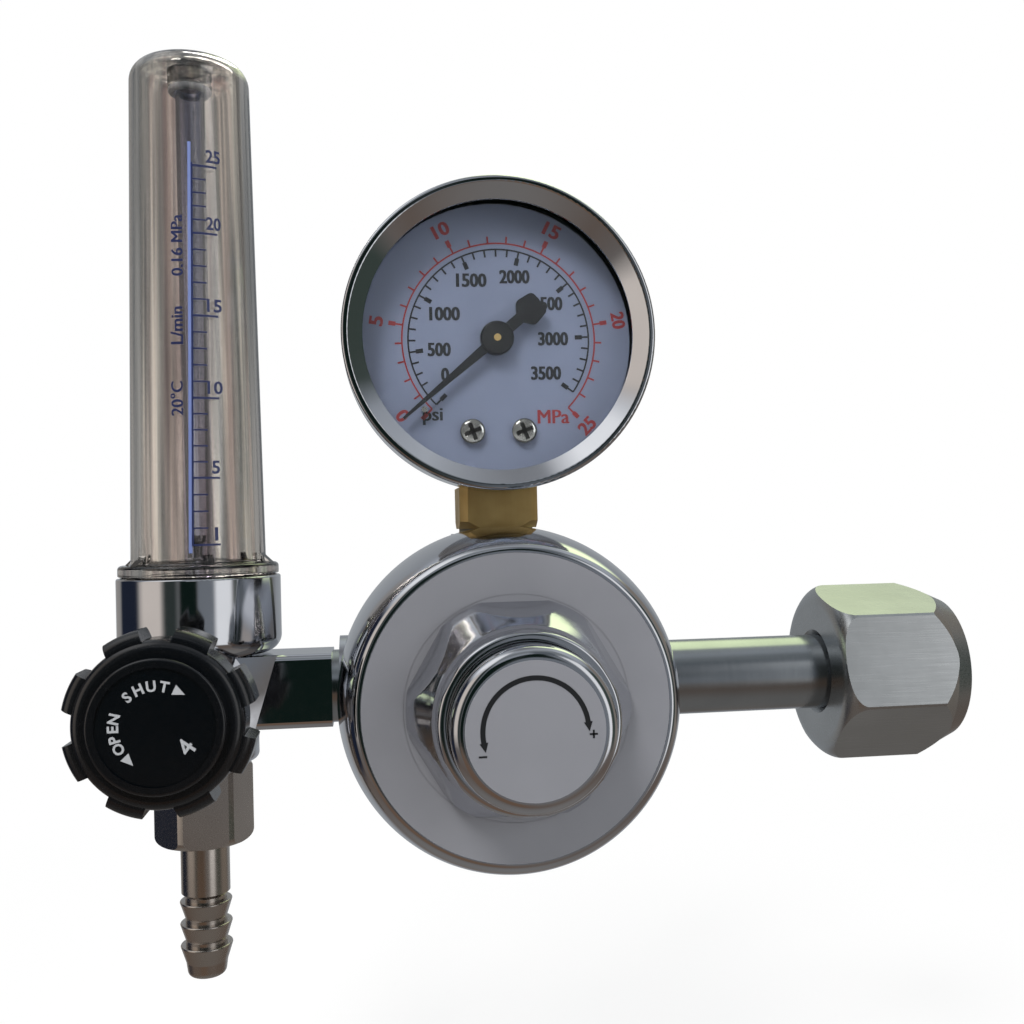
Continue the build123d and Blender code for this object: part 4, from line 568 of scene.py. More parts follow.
# Acrylic inner tube with a faint blue cast.
TUBE_PLASTIC = Clear("acrylic_tube", "#EEF0F8", "#D3D7EA", roughness=0.03, cast="#DCDCEC", streak_mm=1.2)
# Flat glass of the gauge: nearly colourless, with a light shadow.
WINDOW_GLASS = Clear(
    "flat_glass",
    "#F4F6F7",
    "#F1F3F4",
    roughness=0.01,
    cast="#F2F4F5",
    ior=1.5,
    lay=Lay.CAST,
    streak_mm=30.0,
    cast_mm=60.0,
    ripple_mm=20.0,
    shade="#F0F2F3",
)


class Dresser:
    """Gives each finish to its solids and keeps one material for each finish."""

    def __init__(self, frame: dict) -> None:
        """Keep the frame's solids.
        """
        self.nodes: dict[str, bpy.types.Object] = frame["nodes"]
        self.made: dict[str, bpy.types.Material] = {}

    def material(self, finish: Finish) -> bpy.types.Material:
        """Return the finish's material, built once."""
        if finish.name not in self.made:
            self.made[finish.name] = finish.material()
        return self.made[finish.name]

    def dress(self, finish: Finish, names: Sequence[str]) -> None:
        """Give a finish to solids.

        Args:
            finish: The finish.
            names: Names of the solids' nodes.
        """
        for name in names:
            solid = self.nodes[name]
            if not solid.material_slots:
                solid.data.materials.append(None)
            for slot in solid.material_slots:
                slot.material = self.material(finish)
            LOG.info("solid %s: %s", name, finish.name)

    def piece(
        self,
        name: str,
        points: np.ndarray,
        faces: Sequence[Sequence[int]],
        finish: Finish,
        body: str,
        smooth: bool = False,
    ) -> bpy.types.Object:
        """Make a new piece that rides on a body.

        Args:
            name: Name of the piece.
            points: Its points in millimetres, one row each.
            faces: Point numbers of each face, outside seen counter-clockwise.
            finish: Its finish.
            body: Body that carries it.
            smooth: Whether its faces are shaded smooth.

        Returns:
            The piece's object, which sits at the origin.
        """
        mesh = bpy.data.meshes.new(name)
        mesh.from_pydata((np.asarray(points, float) * MM).tolist(), [], [list(f) for f in faces])
        mesh.polygons.foreach_set("use_smooth", np.full(len(mesh.polygons), smooth))
        mesh.update()
        made = bpy.data.objects.new(name, mesh)
        bpy.context.scene.collection.objects.link(made)
        mesh.materials.append(self.material(finish))
        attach(made, body)
        LOG.info("piece %s: %d faces, %s", name, len(mesh.polygons), finish.name)
        return made


def grid_faces(rows: int, columns: int, first: int = 0) -> np.ndarray:
    """Number the quads of a grid, counter-clockwise where rows run right and columns run up.

    Args:
        rows: Points along the first parameter.
        columns: Points along the second parameter.
        first: Number of the grid's first point.

    Returns:
        One row of four point numbers for each quad.
    """
    index = first + np.arange(rows * columns).reshape(rows, columns)
    corners = (index[:-1, :-1], index[1:, :-1], index[1:, 1:], index[:-1, 1:])
    return np.stack(corners, axis=-1).reshape(-1, 4)


def wrapped_faces(rows: int, columns: int, first: int = 0, both: bool = False) -> np.ndarray:
    """Number the quads of a grid whose last column meets its first one.

    Args:
        rows: Points along the first parameter.
        columns: Points along the second parameter, which goes once round.
        first: Number of the grid's first point.
        both: Whether the last row meets the first one too.

    Returns:
        One row of four point numbers for each quad.
    """
    index = first + np.arange(rows * columns).reshape(rows, columns)
    if both:
        index = np.concatenate([index, index[:1]])
    beside = np.roll(index, -1, 1)
    return np.stack([index[:-1], index[1:], beside[1:], beside[:-1]], axis=-1).reshape(-1, 4)


def slab_faces(rows: int, columns: int) -> np.ndarray:
    """Number the quads of a closed thin slab: its top grid, then its bottom grid.

    Args:
        rows: Points along the first parameter.
        columns: Points along the second parameter.

    Returns:
        One row of four point numbers for each quad.
    """
    count = rows * columns
    index = np.arange(count).reshape(rows, columns)
    top = grid_faces(rows, columns)
    bottom = grid_faces(rows, columns, count)[:, ::-1]
    rim = np.concatenate([index[:-1, 0], index[-1, :-1], index[:0:-1, -1], index[0, :0:-1]])
    after = np.roll(rim, -1)
    sides = np.stack([after, rim, rim + count, after + count], axis=-1)
    return np.concatenate([top, bottom, sides])


def polar(radius: float, angle: float) -> tuple[float, float]:
    """Return the point at a radius and an angle in degrees, with 0 to the right and 90 up."""
    turn = np.radians(angle)
    return radius * float(np.cos(turn)), radius * float(np.sin(turn))


@dataclass
class Drawing:
    """Print on a surface, gathered into one mesh. Its own coordinates are u right, v up, w out."""

    surface: Surface
    thickness: float = 0.05
    points: list[np.ndarray] = field(default_factory=list)
    faces: list[list[int]] = field(default_factory=list)

    def add(self, points: np.ndarray, faces: Sequence[Sequence[int]]) -> None:
        """Add points in millimetres and the faces between them."""
        first = sum(len(part) for part in self.points)
        self.points.append(points)
        self.faces += [[first + int(corner) for corner in face] for face in faces]

    def band(self, u: np.ndarray, v: np.ndarray) -> None:
        """Add a closed slab over a grid of the drawing: the same grid at w = thickness and w = 0.

        Args:
            u: Places to the right, one for each point of the grid.
            v: Places upwards, one for each point of the grid.
        """
        rows, columns = u.shape
        top = self.surface(u, v, np.full(u.shape, self.thickness)).reshape(-1, 3)
        bottom = self.surface(u, v, np.zeros(u.shape)).reshape(-1, 3)
        turn = (u[-1, 0] - u[0, 0]) * (v[0, -1] - v[0, 0]) - (v[-1, 0] - v[0, 0]) * (u[0, -1] - u[0, 0])
        faces = slab_faces(rows, columns)
        self.add(np.concatenate([top, bottom]), faces if turn >= 0 else faces[:, ::-1])

    def line(
        self,
        start: tuple[float, float],
        end: tuple[float, float],
        width: float,
        tip_width: float | None = None,
        steps: int = 2,
    ) -> None:
        """Add a straight stroke: along it, the half width runs evenly from one end to the other.

        Args:
            start: First end.
            end: Last end.
            width: Width at the first end.
            tip_width: Width at the last end, the same if left out.
            steps: Points along the stroke.
        """
        along = np.linspace(0.0, 1.0, steps)[:, None]
        half = (width + along * ((width if tip_width is None else tip_width) - width)) / 2
        run = np.array(end) - np.array(start)
        side = np.array([-run[1], run[0]]) / np.hypot(*run)
        across = np.array([-1.0, 1.0])[None, :] * half
        self.band(start[0] + along * run[0] + across * side[0], start[1] + along * run[1] + across * side[1])

    def arc(self, radius: float, start: float, end: float, width: float, steps: int = 90) -> None:
        """Add a stroke along a circle: u = r cos(angle) and v = r sin(angle), r across its width.

        Args:
            radius: Radius of its middle.
            start: First angle in degrees, with 0 to the right and 90 up.
            end: Last angle in degrees.
            width: Width of the stroke.
            steps: Points along the stroke.
        """
        angle = np.radians(np.linspace(start, end, steps))[:, None]
        reach = radius + np.array([-0.5, 0.5])[None, :] * width
        if end > start:
            reach = reach[:, ::-1]
        self.band(reach * np.cos(angle), reach * np.sin(angle))

    def tick(self, angle: float, inner: float, outer: float, width: float) -> None:
        """Add a radial stroke at an angle in degrees, between two radii."""
        self.line(polar(inner, angle), polar(outer, angle), width)

    def arrow(
        self, radius: float, angle: float, length: float, width: float, forward: float, tip: float = 0.02
    ) -> None:
        """Add an arrow head on a circle, which points along the tangent.

        Args:
            radius: Radius of its middle.
            angle: Angle of its foot in degrees.
            length: Length from foot to tip.
            width: Width of its foot.
            forward: 1 to point counter-clockwise, -1 to point clockwise.
            tip: Width of its tip.
        """
        foot = np.array(polar(radius, angle))
        way = forward * np.array([-foot[1], foot[0]]) / radius
        self.line(tuple(foot), tuple(foot + way * length), width, tip)

    def text(
        self,
        words: str,
        place: tuple[float, float],
        height: float,
        turn: float = 0.0,
        weight: float = 0.012,
        width: float | None = None,
        bold: float = 0.0,
    ) -> None:
        """Add words, centred on a place.

        Args:
            words: What they say.
            place: Their centre.
            height: Height of their tallest letter.
            turn: Turn in degrees, counter-clockwise.
            weight: Growth of the strokes, as a share of the letters' size.
            width: Width of the whole, or nothing to keep the font's own shape.
            bold: Distance between two strikes of the words, or 0 for one strike.
        """
        curve = bpy.data.curves.new("words", "FONT")
        curve.body = words
        curve.offset = weight
        curve.resolution_u = 3
        # Any depth will do, because the print's own thickness takes its place below.
        curve.extrude = 0.5
        holder = bpy.data.objects.new("words", curve)
        bpy.context.scene.collection.objects.link(holder)
        bpy.context.view_layer.update()
        letters = bpy.data.meshes.new_from_object(holder)
        flat = np.zeros(len(letters.vertices) * 3)
        letters.vertices.foreach_get("co", flat)
        flat = flat.reshape(-1, 3)
        faces = [list(face.vertices) for face in letters.polygons]
        bpy.data.objects.remove(holder)
        bpy.data.curves.remove(curve)
        bpy.data.meshes.remove(letters)
        low, high = flat.min(0), flat.max(0)
        scale = height / (high[1] - low[1])
        wide = scale if width is None else width / (high[0] - low[0])
        u = (flat[:, 0] - (low[0] + high[0]) / 2) * wide
        v = (flat[:, 1] - (low[1] + high[1]) / 2) * scale
        w = (flat[:, 2] - low[2]) / (high[2] - low[2]) * self.thickness
        cos, sin = np.cos(np.radians(turn)), np.sin(np.radians(turn))
        # Two strikes lie side by side, the second one a little lower, so that no faces coincide.
        for strike, lift in ((-0.5, 1.0), (0.5, 0.9)) if bold else ((0.0, 1.0),):
            across = u + strike * bold
            right, up = place[0] + across * cos - v * sin, place[1] + across * sin + v * cos
            self.add(self.surface(right, up, w * lift), faces)

    def ring_text(
        self, words: str, radius: float, first: float, last: float, height: float, weight: float = 0.03
    ) -> None:
        """Add words along a circle, one letter at a time, with their tops outwards.

        Args:
            words: What they say.
            radius: Radius of the letters' middle.
            first: Angle of the first letter in degrees.
            last: Angle of the last letter in degrees.
            height: Height of a letter.
            weight: Growth of the strokes, as a share of the letters' size.
        """
        for letter, angle in zip(words, np.linspace(first, last, len(words))):
            self.text(letter, polar(radius, angle), height, float(angle) - 90.0, weight)

    def finish(self, dresser: Dresser, name: str, ink: Solid, body: str, slot: str) -> None:
        """Turn the drawing into a piece.

        Args:
            dresser: Maker of the piece.
            name: Name of the piece.
            ink: Its finish.
            body: Body that carries it.
            slot: Not used.
        """
        dresser.piece(name, np.concatenate(self.points), self.faces, ink, body)


def front_plane(x: float, z: float, y: float) -> Surface:
    """Give a plane that faces the viewer, centred on a point, in millimetres.

    Args:
        x: X of the drawing's centre.
        z: Z of the drawing's centre.
        y: Station of the printed face.

    Returns:
        The function from the drawing's u, v and w to X = x + u, Y = y - w and Z = z + v.
    """

    def place(u: np.ndarray, v: np.ndarray, w: np.ndarray) -> np.ndarray:
        """Return X, Y and Z of points of the drawing."""
        return np.stack([x + u, y - w, z + v], axis=-1)

    return place


def middle(node_name: str) -> np.ndarray:
    """Return the middle of a solid's box in millimetres."""
    low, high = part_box(node_name)
    return (np.array(low) + np.array(high)) / 2 / MM


class SubAssembly:
    """Pieces that are made and dressed together."""

    finishes: ClassVar[tuple[tuple[Finish, tuple[str, ...]], ...]] = ()

    def build(self, dresser: Dresser) -> None:
        """Make the pieces that the solids don't have. Some sub-assemblies have none."""

    def dress(self, dresser: Dresser) -> None:
        """Give the solids their finishes."""
        for finish, names in self.finishes:
            dresser.dress(finish, names)


@dataclass
class InletUnion(SubAssembly):
    """Union nut, inlet pipe and the sealing pieces between them."""

    finishes: ClassVar = (
        (NUT_NICKEL, ("inlet_nut",)),
        (PIPE_NICKEL, ("inlet_stem",)),
        (FIBRE, ("inlet_washer",)),
        (SINTERED, ("inlet_filter",)),
    )

    thread_radius: float = 10.3
    thread_pitch: float = 1.814
    thread_height: float = 0.35
    thread_length: float = 15.0
    lead_in: float = 1.2
    ridge_share: float = 0.8
    # The ridge's profile: places as shares of its width, and heights as shares of its own.
    profile_places: tuple[float, ...] = (-0.5, 0.0, 0.5, 0.0)
    profile_heights: tuple[float, ...] = (-0.02, 1.0, -0.02, -0.3)
    least_fade: float = 0.02
    steps_a_turn: int = 48

    def build(self, dresser: Dresser) -> None:
        """Make the thread's ridge.

        A triangular ridge winds round the nut's axis: X falls evenly with the turn, and the
        radius drops by the ridge's height in the middle of its width. It fades in and out.

        Args:
            dresser: Maker of the piece.
        """
        turns = (self.thread_length - 2 * self.lead_in) / self.thread_pitch
        angle = np.linspace(0.0, 2 * np.pi * turns, int(self.steps_a_turn * turns))[:, None]
        across, drop = np.array(self.profile_places)[None, :], np.array(self.profile_heights)[None, :]
        fade = np.clip(np.minimum(angle, angle[-1] - angle) / np.pi, self.least_fade, 1.0)
        x = -self.lead_in - self.thread_pitch * (angle / (2 * np.pi) + self.ridge_share * across * fade)
        radius = self.thread_radius - drop * self.thread_height * fade
        points = np.stack([x, radius * np.cos(angle), radius * np.sin(angle)], axis=-1)
        rows, columns = x.shape
        last = (rows - 1) * columns
        ends = [list(range(columns)), list(range(last + columns - 1, last - 1, -1))]
        every = wrapped_faces(rows, columns).tolist() + ends
        dresser.piece(
            "inlet_thread_ridge", points.reshape(-1, 3), every, NUT_NICKEL, "inlet_union"
        )


def rounded(
    corners: Sequence[tuple[float, float, float]], least_step: float, steps: int = 6
) -> np.ndarray:
    """Round the corners of a closed profile with arcs.

    Each corner becomes an arc of its own radius that touches both of its lines.

    Args:
        corners: Radius, station and rounding of each corner, in millimetres.
        least_step: Points nearer than this are left out, because they would spoil the shading.
        steps: Points on each arc.

    Returns:
        One row of radius and station for each point of the rounded profile.
    """
    points, radii = np.array(corners)[:, :2], np.array(corners)[:, 2]
    before, after = np.roll(points, 1, 0) - points, np.roll(points, -1, 0) - points
    before /= np.linalg.norm(before, axis=1)[:, None]
    after /= np.linalg.norm(after, axis=1)[:, None]
    half = np.arccos(np.clip((before * after).sum(1), -1, 1)) / 2
    reach = radii / np.tan(half)
    start, end = points + before * reach[:, None], points + after * reach[:, None]
    inward = before + after
    inward /= np.linalg.norm(inward, axis=1)[:, None]
    centre = points + inward * (radii / np.sin(half))[:, None]
    share = np.linspace(0, 1, steps)[None, :, None]
    chord = start[:, None] + share * (end - start)[:, None] - centre[:, None]
    chord *= (radii[:, None] / np.linalg.norm(chord, axis=2))[..., None]
    profile = (centre[:, None] + chord).reshape(-1, 2)
    return profile[np.hypot(*(profile - np.roll(profile, 1, 0)).T) > least_step]


def subdivided(profile: np.ndarray, longest: float) -> np.ndarray:
    """Divide each side of a closed profile into equal steps that are no longer than a length."""
    parts = [profile[:1]]
    for start, end in zip(profile, np.roll(profile, -1, 0)):
        count = max(int(np.ceil(np.hypot(*(end - start)) / longest)), 1)
        parts.append(start + (end - start) * (np.arange(1, count + 1) / count)[:, None])
    return np.concatenate(parts)[:-1]


@dataclass
class PressureStage(SubAssembly):
    """Body, bonnet, labels, pressure cap and the diaphragm's pieces."""

    finishes: ClassVar = (
        (CHROME, ("bonnet", "adjusting_cap")),
        (LABEL, ("bonnet_label", "cap_label")),
        (TURNED_CHROME, ("regulator_body",)),
        (BRASS, ("valve_nozzle", "valve_poppet")),
        (SPRING_WIRE, ("poppet_spring", "main_spring")),
        (RUBBER, ("diaphragm",)),
        (SCREW_STEEL, ("slip_ring", "diaphragm_plate", "spring_button")),
    )

    arc_radius: float = 8.4
    arc_start: float = 190.0
    arc_end: float = 8.0
    arc_width: float = 0.8
    arrow_length: float = 1.5
    arrow_width: float = 1.4
    sign_radius: float = 9.2
    sign_angle: float = 13.0
    sign_height: float = 1.3
    sign_width: float = 0.3
    bonnet_radius: float = 32.4
    rim_station: float = -10.8
    face_station: float = -30.4
    lip_radius: float = 28.0
    label_radius: float = 27.6
    label_hole: float = 20.25
    label_depth: float = 0.4
    half_flats: float = 19.0
    hexagon_draft: float = 0.24
    hexagon_radius: float = 19.9
    hexagon_end: float = -33.2
    cone_radius: float = 17.6
    cone_end: float = -37.4
    tower_radius: float = 15.2
    tower_foot: float = -42.0
    tower_end: float = -47.4
    bore_radius: float = 13.58
    bore_end: float = -31.8
    cavity_radius: float = 22.0
    cavity_end: float = -27.6
    clamp_radius: float = 27.55
    clamp_share: float = 0.1
    bore_wall: float = 0.2
    # Roundings of the edges, from the back round to the cavity.
    back_round: float = 0.12
    rim_round: float = 0.02
    shoulder_round: float = 0.01
    lip_round: float = 0.15
    label_round: float = 0.05
    hexagon_foot_round: float = 0.2
    hexagon_end_round: float = 0.25
    cone_round: float = 1.2
    tower_foot_round: float = 7.0
    tower_lip_round: float = 0.7
    mouth_round: float = 0.15
    inner_round: float = 0.1
    least_step: float = 0.008
    longest_step: float = 0.9
    shoulder_steps: int = 40
    turns: int = 540
    film_thickness: float = 0.02
    film_gap: float = 0.1
    film_steps: int = 361

    def profile(self, back: float) -> np.ndarray:
        """Return the bonnet's closed profile, from its back edge over the shoulder into the cavity.

        The shoulder is a quarter of an ellipse: the radius falls with the cosine and the station
        moves forward with the sine.

        Args:
            back: Station of the back edge.

        Returns:
            One row of radius and station for each point.
        """
        turn = np.linspace(0.0, np.pi / 2, self.shoulder_steps)[1:-1]
        radius = self.lip_radius + (self.bonnet_radius - self.lip_radius) * np.cos(turn)
        station = self.rim_station + (self.face_station - self.rim_station) * np.sin(turn)
        shoulder = np.stack([radius, station, np.full_like(turn, self.shoulder_round)], axis=-1)
        floor = self.face_station + self.label_depth
        clamp = back + (self.cavity_end - back) * self.clamp_share
        corners = [
            (self.clamp_radius, back, self.back_round),
            (self.bonnet_radius, back, self.back_round),
            (self.bonnet_radius, self.rim_station, self.rim_round),
            *(tuple(point) for point in shoulder.tolist()),
            (self.lip_radius, self.face_station, self.lip_round),
            (self.label_radius, self.face_station, self.label_round),
            (self.label_radius, floor, self.label_round),
            (self.hexagon_radius, floor, self.hexagon_foot_round),
            (self.hexagon_radius, self.hexagon_end, self.hexagon_end_round),
            (self.cone_radius, self.cone_end, self.cone_round),
            (self.tower_radius, self.tower_foot, self.tower_foot_round),
            (self.tower_radius, self.tower_end, self.tower_lip_round),
            (self.bore_radius, self.tower_end, self.mouth_round),
            (self.bore_radius, self.bore_end, self.inner_round),
            (self.cavity_radius, self.cavity_end, self.inner_round),
            (self.cavity_radius, clamp, self.inner_round),
            (self.clamp_radius, clamp, self.inner_round),
        ]
        return subdivided(rounded(corners, self.least_step), self.longest_step)

    def flat_reach(self, angle: np.ndarray, half: float | np.ndarray) -> np.ndarray:
        """Return the hexagon's radius at an angle: half its width over the cosine from a flat's middle."""
        return half / np.cos((angle + np.pi / 6) % (np.pi / 3) - np.pi / 6)

    def build_bonnet(self, dresser: Dresser) -> None:
        """Make the bonnet's chromed surface, and the film that closes its label up to the hexagon.

        The profile goes once round the axis. On the hexagon and the tower the radius is the
        smaller of the profile's and the hexagon's, whose half width shrinks with its draft. The
        other sizes are the solid's own.

        Args:
            dresser: Maker of the pieces.
        """
        low, high = (np.array(corner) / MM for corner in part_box("bonnet"))
        axis_x, back = (low[0] + high[0]) / 2, high[1]
        line = self.profile(back)
        reach, station = line[None, :, 0], line[None, :, 1]
        angle = np.linspace(0.0, 2 * np.pi, self.turns, endpoint=False)[:, None]
        floor = self.face_station + self.label_depth
        tall = np.clip(floor - station, 0.0, None)
        flat = self.flat_reach(angle, self.half_flats - self.hexagon_draft * tall)
        # The tower is what stands before the label's floor, outside the wall of the bore.
        on_tower = (station <= floor + 1e-6) & (reach <= self.hexagon_radius + 1e-6)
        on_tower &= reach > self.bore_radius + self.bore_wall
        radius = np.where(on_tower, np.minimum(reach, flat), reach)
        depth = np.broadcast_to(station, radius.shape)
        points = np.stack([axis_x + radius * np.sin(angle), depth, radius * np.cos(angle)], axis=-1)
        shell = dresser.piece(
            "bonnet_chrome",
            points.reshape(-1, 3),
            wrapped_faces(*radius.shape, both=True).tolist(),
            CHROME,
            "regulator",
            smooth=True,
        )
        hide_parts("bonnet")
        film = Drawing(front_plane(axis_x, 0.0, self.face_station + self.film_thickness), self.film_thickness)
        around = np.linspace(0.0, 2 * np.pi, self.film_steps)[:, None]
        inner = np.minimum(self.hexagon_radius, self.flat_reach(np.pi / 2 - around, self.half_flats))
        reach = np.concatenate([np.full_like(inner, self.label_hole), inner - self.film_gap], axis=1)
        film.band(reach * np.cos(around), reach * np.sin(around))
        film.finish(dresser, "bonnet_label_film", LABEL, "regulator", "silver_label")

    def print_cap(self, dresser: Dresser) -> None:
        """Print the turning arc with its tips and signs on the cap's label."""
        centre = middle("cap_label")
        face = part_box("cap_label")[0][1] / MM
        drawing = Drawing(front_plane(centre[0], centre[2], face))
        drawing.arc(self.arc_radius, self.arc_start, self.arc_end, self.arc_width)
        drawing.arrow(self.arc_radius, self.arc_start, self.arrow_length, self.arrow_width, 1)
        drawing.arrow(self.arc_radius, self.arc_end, self.arrow_length, self.arrow_width, -1)
        half = self.sign_height / 2
        signs = ((self.arc_start + self.sign_angle, False), (self.arc_end - self.sign_angle, True))
        for angle, plus in signs:
            u, v = polar(self.sign_radius, angle)
            drawing.line((u - half, v), (u + half, v), self.sign_width)
            if plus:
                drawing.line((u, v - half), (u, v + half), self.sign_width)
        drawing.finish(dresser, "cap_arc_print", BLACK_INK, "cap", "pointer_black")

    def build(self, dresser: Dresser) -> None:
        """Make the bonnet's surface and print the cap's label."""
        self.build_bonnet(dresser)
        self.print_cap(dresser)


@dataclass
class Heater(SubAssembly):
    """Heater, its rear cover and the cable outlet."""

    finishes: ClassVar = (
        (CERAMIC, ("heater_element",)),
        (NYLON, ("heater_cover", "cable_gland")),
        (SCREW_STEEL, ("heater_screws",)),
    )

    rib_count: int = 5
    rib_pitch: float = 1.3
    rib_height: float = 0.35
    rib_share: float = 0.8
    rib_root: float = 0.1
    gland_radius: float = 5.6
    first_rib: float = 1.2
    steps_round: int = 64
    steps_across: int = 9

    def build(self, dresser: Dresser) -> None:
        """Make the grip rings of the cable outlet.

        Each ring has the two parameters angle and profile. Along the profile the radius grows by
        a sine over the ring's width, then comes back inside the outlet's wall.

        Args:
            dresser: Maker of the pieces.
        """
        low, high = (np.array(corner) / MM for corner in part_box("cable_gland"))
        centre = (low + high) / 2
        angle = np.linspace(0.0, 2 * np.pi, self.steps_round, endpoint=False)[:, None]
        share = np.linspace(0.0, 1.0, self.steps_across)
        bulge = self.gland_radius - self.rib_root + (self.rib_height + self.rib_root) * np.sin(np.pi * share)
        inside = self.gland_radius - self.rib_height
        radius = np.concatenate([bulge, [inside, inside]])[None, :]
        along = np.concatenate([share, [1.0, 0.0]])[None, :]
        x, y = centre[0] + radius * np.cos(angle), centre[1] + radius * np.sin(angle)
        points, faces = [], []
        for rib in range(self.rib_count):
            z = low[2] + self.first_rib + self.rib_pitch * (rib + self.rib_share * along)
            points.append(np.stack([x, y, np.broadcast_to(z, x.shape)], axis=-1).reshape(-1, 3))
            faces.append(wrapped_faces(*x.shape, first=rib * x.size, both=True))
        dresser.piece(
            "cable_gland_rings",
            np.concatenate(points),
            np.concatenate(faces).tolist(),
            NYLON,
            "regulator",
            smooth=True,
        )


@dataclass
class Gauge(SubAssembly):
    """Pressure gauge: dial, pointer, window, case and movement."""

    finishes: ClassVar = (
        (CHROME, ("gauge_bezel",)),
        (CASE_STEEL, ("gauge_case",)),
        (WINDOW_GLASS, ("gauge_lens",)),
        (RUBBER, ("lens_gasket",)),
        (ENAMEL_WITH_PAINTED_SHADE, ("gauge_dial",)),
        (SCREW_STEEL, ("dial_screws", "case_screws", "pointer_stop")),
        (POINTER_PAINT, ("gauge_pointer",)),
        (BRASS, ("gauge_socket", "gauge_pinion", "sector_gear", "gauge_link", "bourdon_tube")),
        (BRASS, ("movement_plate_front", "movement_plate_rear")),
        (FIBRE, ("gauge_gasket",)),
    )

    zero_angle: float = 225.0
    full_angle: float = -45.0
    full_mpa: float = 25.0
    mpa_number_step: int = 5
    mpa_per_psi: float = 0.00689476
    full_psi: int = 3500
    psi_step: int = 100
    psi_number_step: int = 500
    print_shift: float = 0.63
    line_width: float = 0.32
    tick_width: float = 0.36
    block_width: float = 0.85
    red_arc: float = 19.1
    red_minor: float = 20.5
    red_block: float = 20.5
    red_major: float = 21.9
    red_number: float = 24.3
    red_zero_angle: float = 217.4
    black_arc: float = 17.9
    black_minor: float = 16.45
    black_block: float = 16.6
    black_major: float = 15.15
    digit_height: float = 2.72
    digit_width: float = 1.47
    digit_weight: float = 0.02
    red_extra_width: float = 0.3
    red_bold: float = 0.16
    black_bold: float = 0.18
    mpa_place: tuple[float, float] = (10.48, -15.3)
    mpa_width: float = 6.2
    mpa_bold: float = 0.2
    psi_place: tuple[float, float] = (-13.4, -15.0)
    psi_height: float = 3.3
    psi_width: float = 3.8
    psi_weight: float = 0.008
    psi_bold: float = 0.16
    black_places: dict[int, tuple[float, float]] = field(
        default_factory=lambda: {
            0: (-10.8, -6.8),
            500: (-11.85, -1.85),
            1000: (-10.63, 5.17),
            1500: (-5.22, 11.78),
            2000: (3.35, 12.48),
            2500: (9.82, 7.17),
            3000: (10.79, 0.17),
            3500: (9.21, -6.64),
        }
    )
    screw_radius: float = 2.45
    screw_side: float = 5.1
    screw_turn: float = 0.35
    screw_dome: float = 0.5
    dome_fall: float = 0.92
    dome_edge_power: int = 12
    screw_proud: float = 0.01
    radial_steps: int = 48
    round_steps: int = 144
    cross_reach: float = 1.75
    cross_width: float = 0.85
    cross_depth: float = 0.42
    cross_edge: float = 0.12
    cross_limit: float = 0.9
    cross_floor_depth: float = 0.05
    cross_floor_height: float = 0.1

    def angle(self, mpa: float) -> float:
        """Return the dial's angle in degrees at a pressure in MPa."""
        return self.zero_angle + (self.full_angle - self.zero_angle) * mpa / self.full_mpa

    def major(self, drawing: Drawing, angle: float, arc: float, block: float, end: float) -> None:
        """Draw a main mark: a thin stroke from the arc, then a thick block to its end."""
        drawing.tick(angle, arc, block, self.tick_width)
        drawing.tick(angle, block, end, self.block_width)

    def print_red(self, drawing: Drawing) -> None:
        """Draw the MPa scale, whose marks and numbers stand outside its arc."""
        drawing.arc(self.red_arc, self.zero_angle, self.full_angle, self.line_width)
        for mpa in range(int(self.full_mpa) + 1):
            angle = self.angle(mpa)
            if mpa % self.mpa_number_step:
                drawing.tick(angle, self.red_arc, self.red_minor, self.tick_width)
                continue
            self.major(drawing, angle, self.red_arc, self.red_block, self.red_major)
            number_angle = self.red_zero_angle if mpa == 0 else angle
            turn = number_angle + (90.0 if mpa in (0, self.full_mpa) else -90.0)
            place = polar(self.red_number, number_angle)
            width = self.digit_width * len(str(mpa)) + self.red_extra_width
            drawing.text(str(mpa), place, self.digit_height, turn, self.digit_weight, width, self.red_bold)
        drawing.text("MPa", self.mpa_place, self.digit_height, 0.0, 0.0, self.mpa_width, self.mpa_bold)

    def print_black(self, drawing: Drawing) -> None:
        """Draw the psi scale, whose marks and numbers stand inside its arc."""
        last = self.angle(self.full_psi * self.mpa_per_psi)
        drawing.arc(self.black_arc, self.zero_angle, last, self.line_width)
        for psi in range(0, self.full_psi + 1, self.psi_step):
            angle = self.angle(psi * self.mpa_per_psi)
            if psi % self.psi_number_step:
                drawing.tick(angle, self.black_minor, self.black_arc, self.tick_width)
            else:
                self.major(drawing, angle, self.black_arc, self.black_block, self.black_major)
        for number, place in self.black_places.items():
            width = self.digit_width * len(str(number))
            drawing.text(
                str(number), place, self.digit_height, 0.0, self.digit_weight, width, self.black_bold
            )
        drawing.text(
            "psi", self.psi_place, self.psi_height, 0.0, self.psi_weight, self.psi_width, self.psi_bold
        )

    def head_height(self, u: np.ndarray, v: np.ndarray) -> np.ndarray:
        """Return the height of a screw's face over places along and across the first arm of its cross.

        The face is a low dome that falls to the head's flat front at its edge, less the depth of
        the cross wherever the place lies within one of its two arms, with sloping walls.

        Args:
            u: Places along the first arm.
            v: Places along the second arm.

        Returns:
            The heights over the head's flat front.
        """
        share = np.hypot(u, v) / self.screw_radius
        dome = self.screw_dome * np.sqrt(np.clip(1.0 - self.dome_fall * share**2, 0.0, 1.0))
        dome = dome * (1 - share**self.dome_edge_power)
        long_arm = np.clip((self.cross_reach - np.abs(np.stack([u, v]))) / self.cross_edge, 0, 1)
        thin_arm = np.clip((self.cross_width / 2 - np.abs(np.stack([v, u]))) / self.cross_edge, 0, 1)
        return dome - self.cross_depth * (long_arm * thin_arm).max(0) * (share < self.cross_limit)

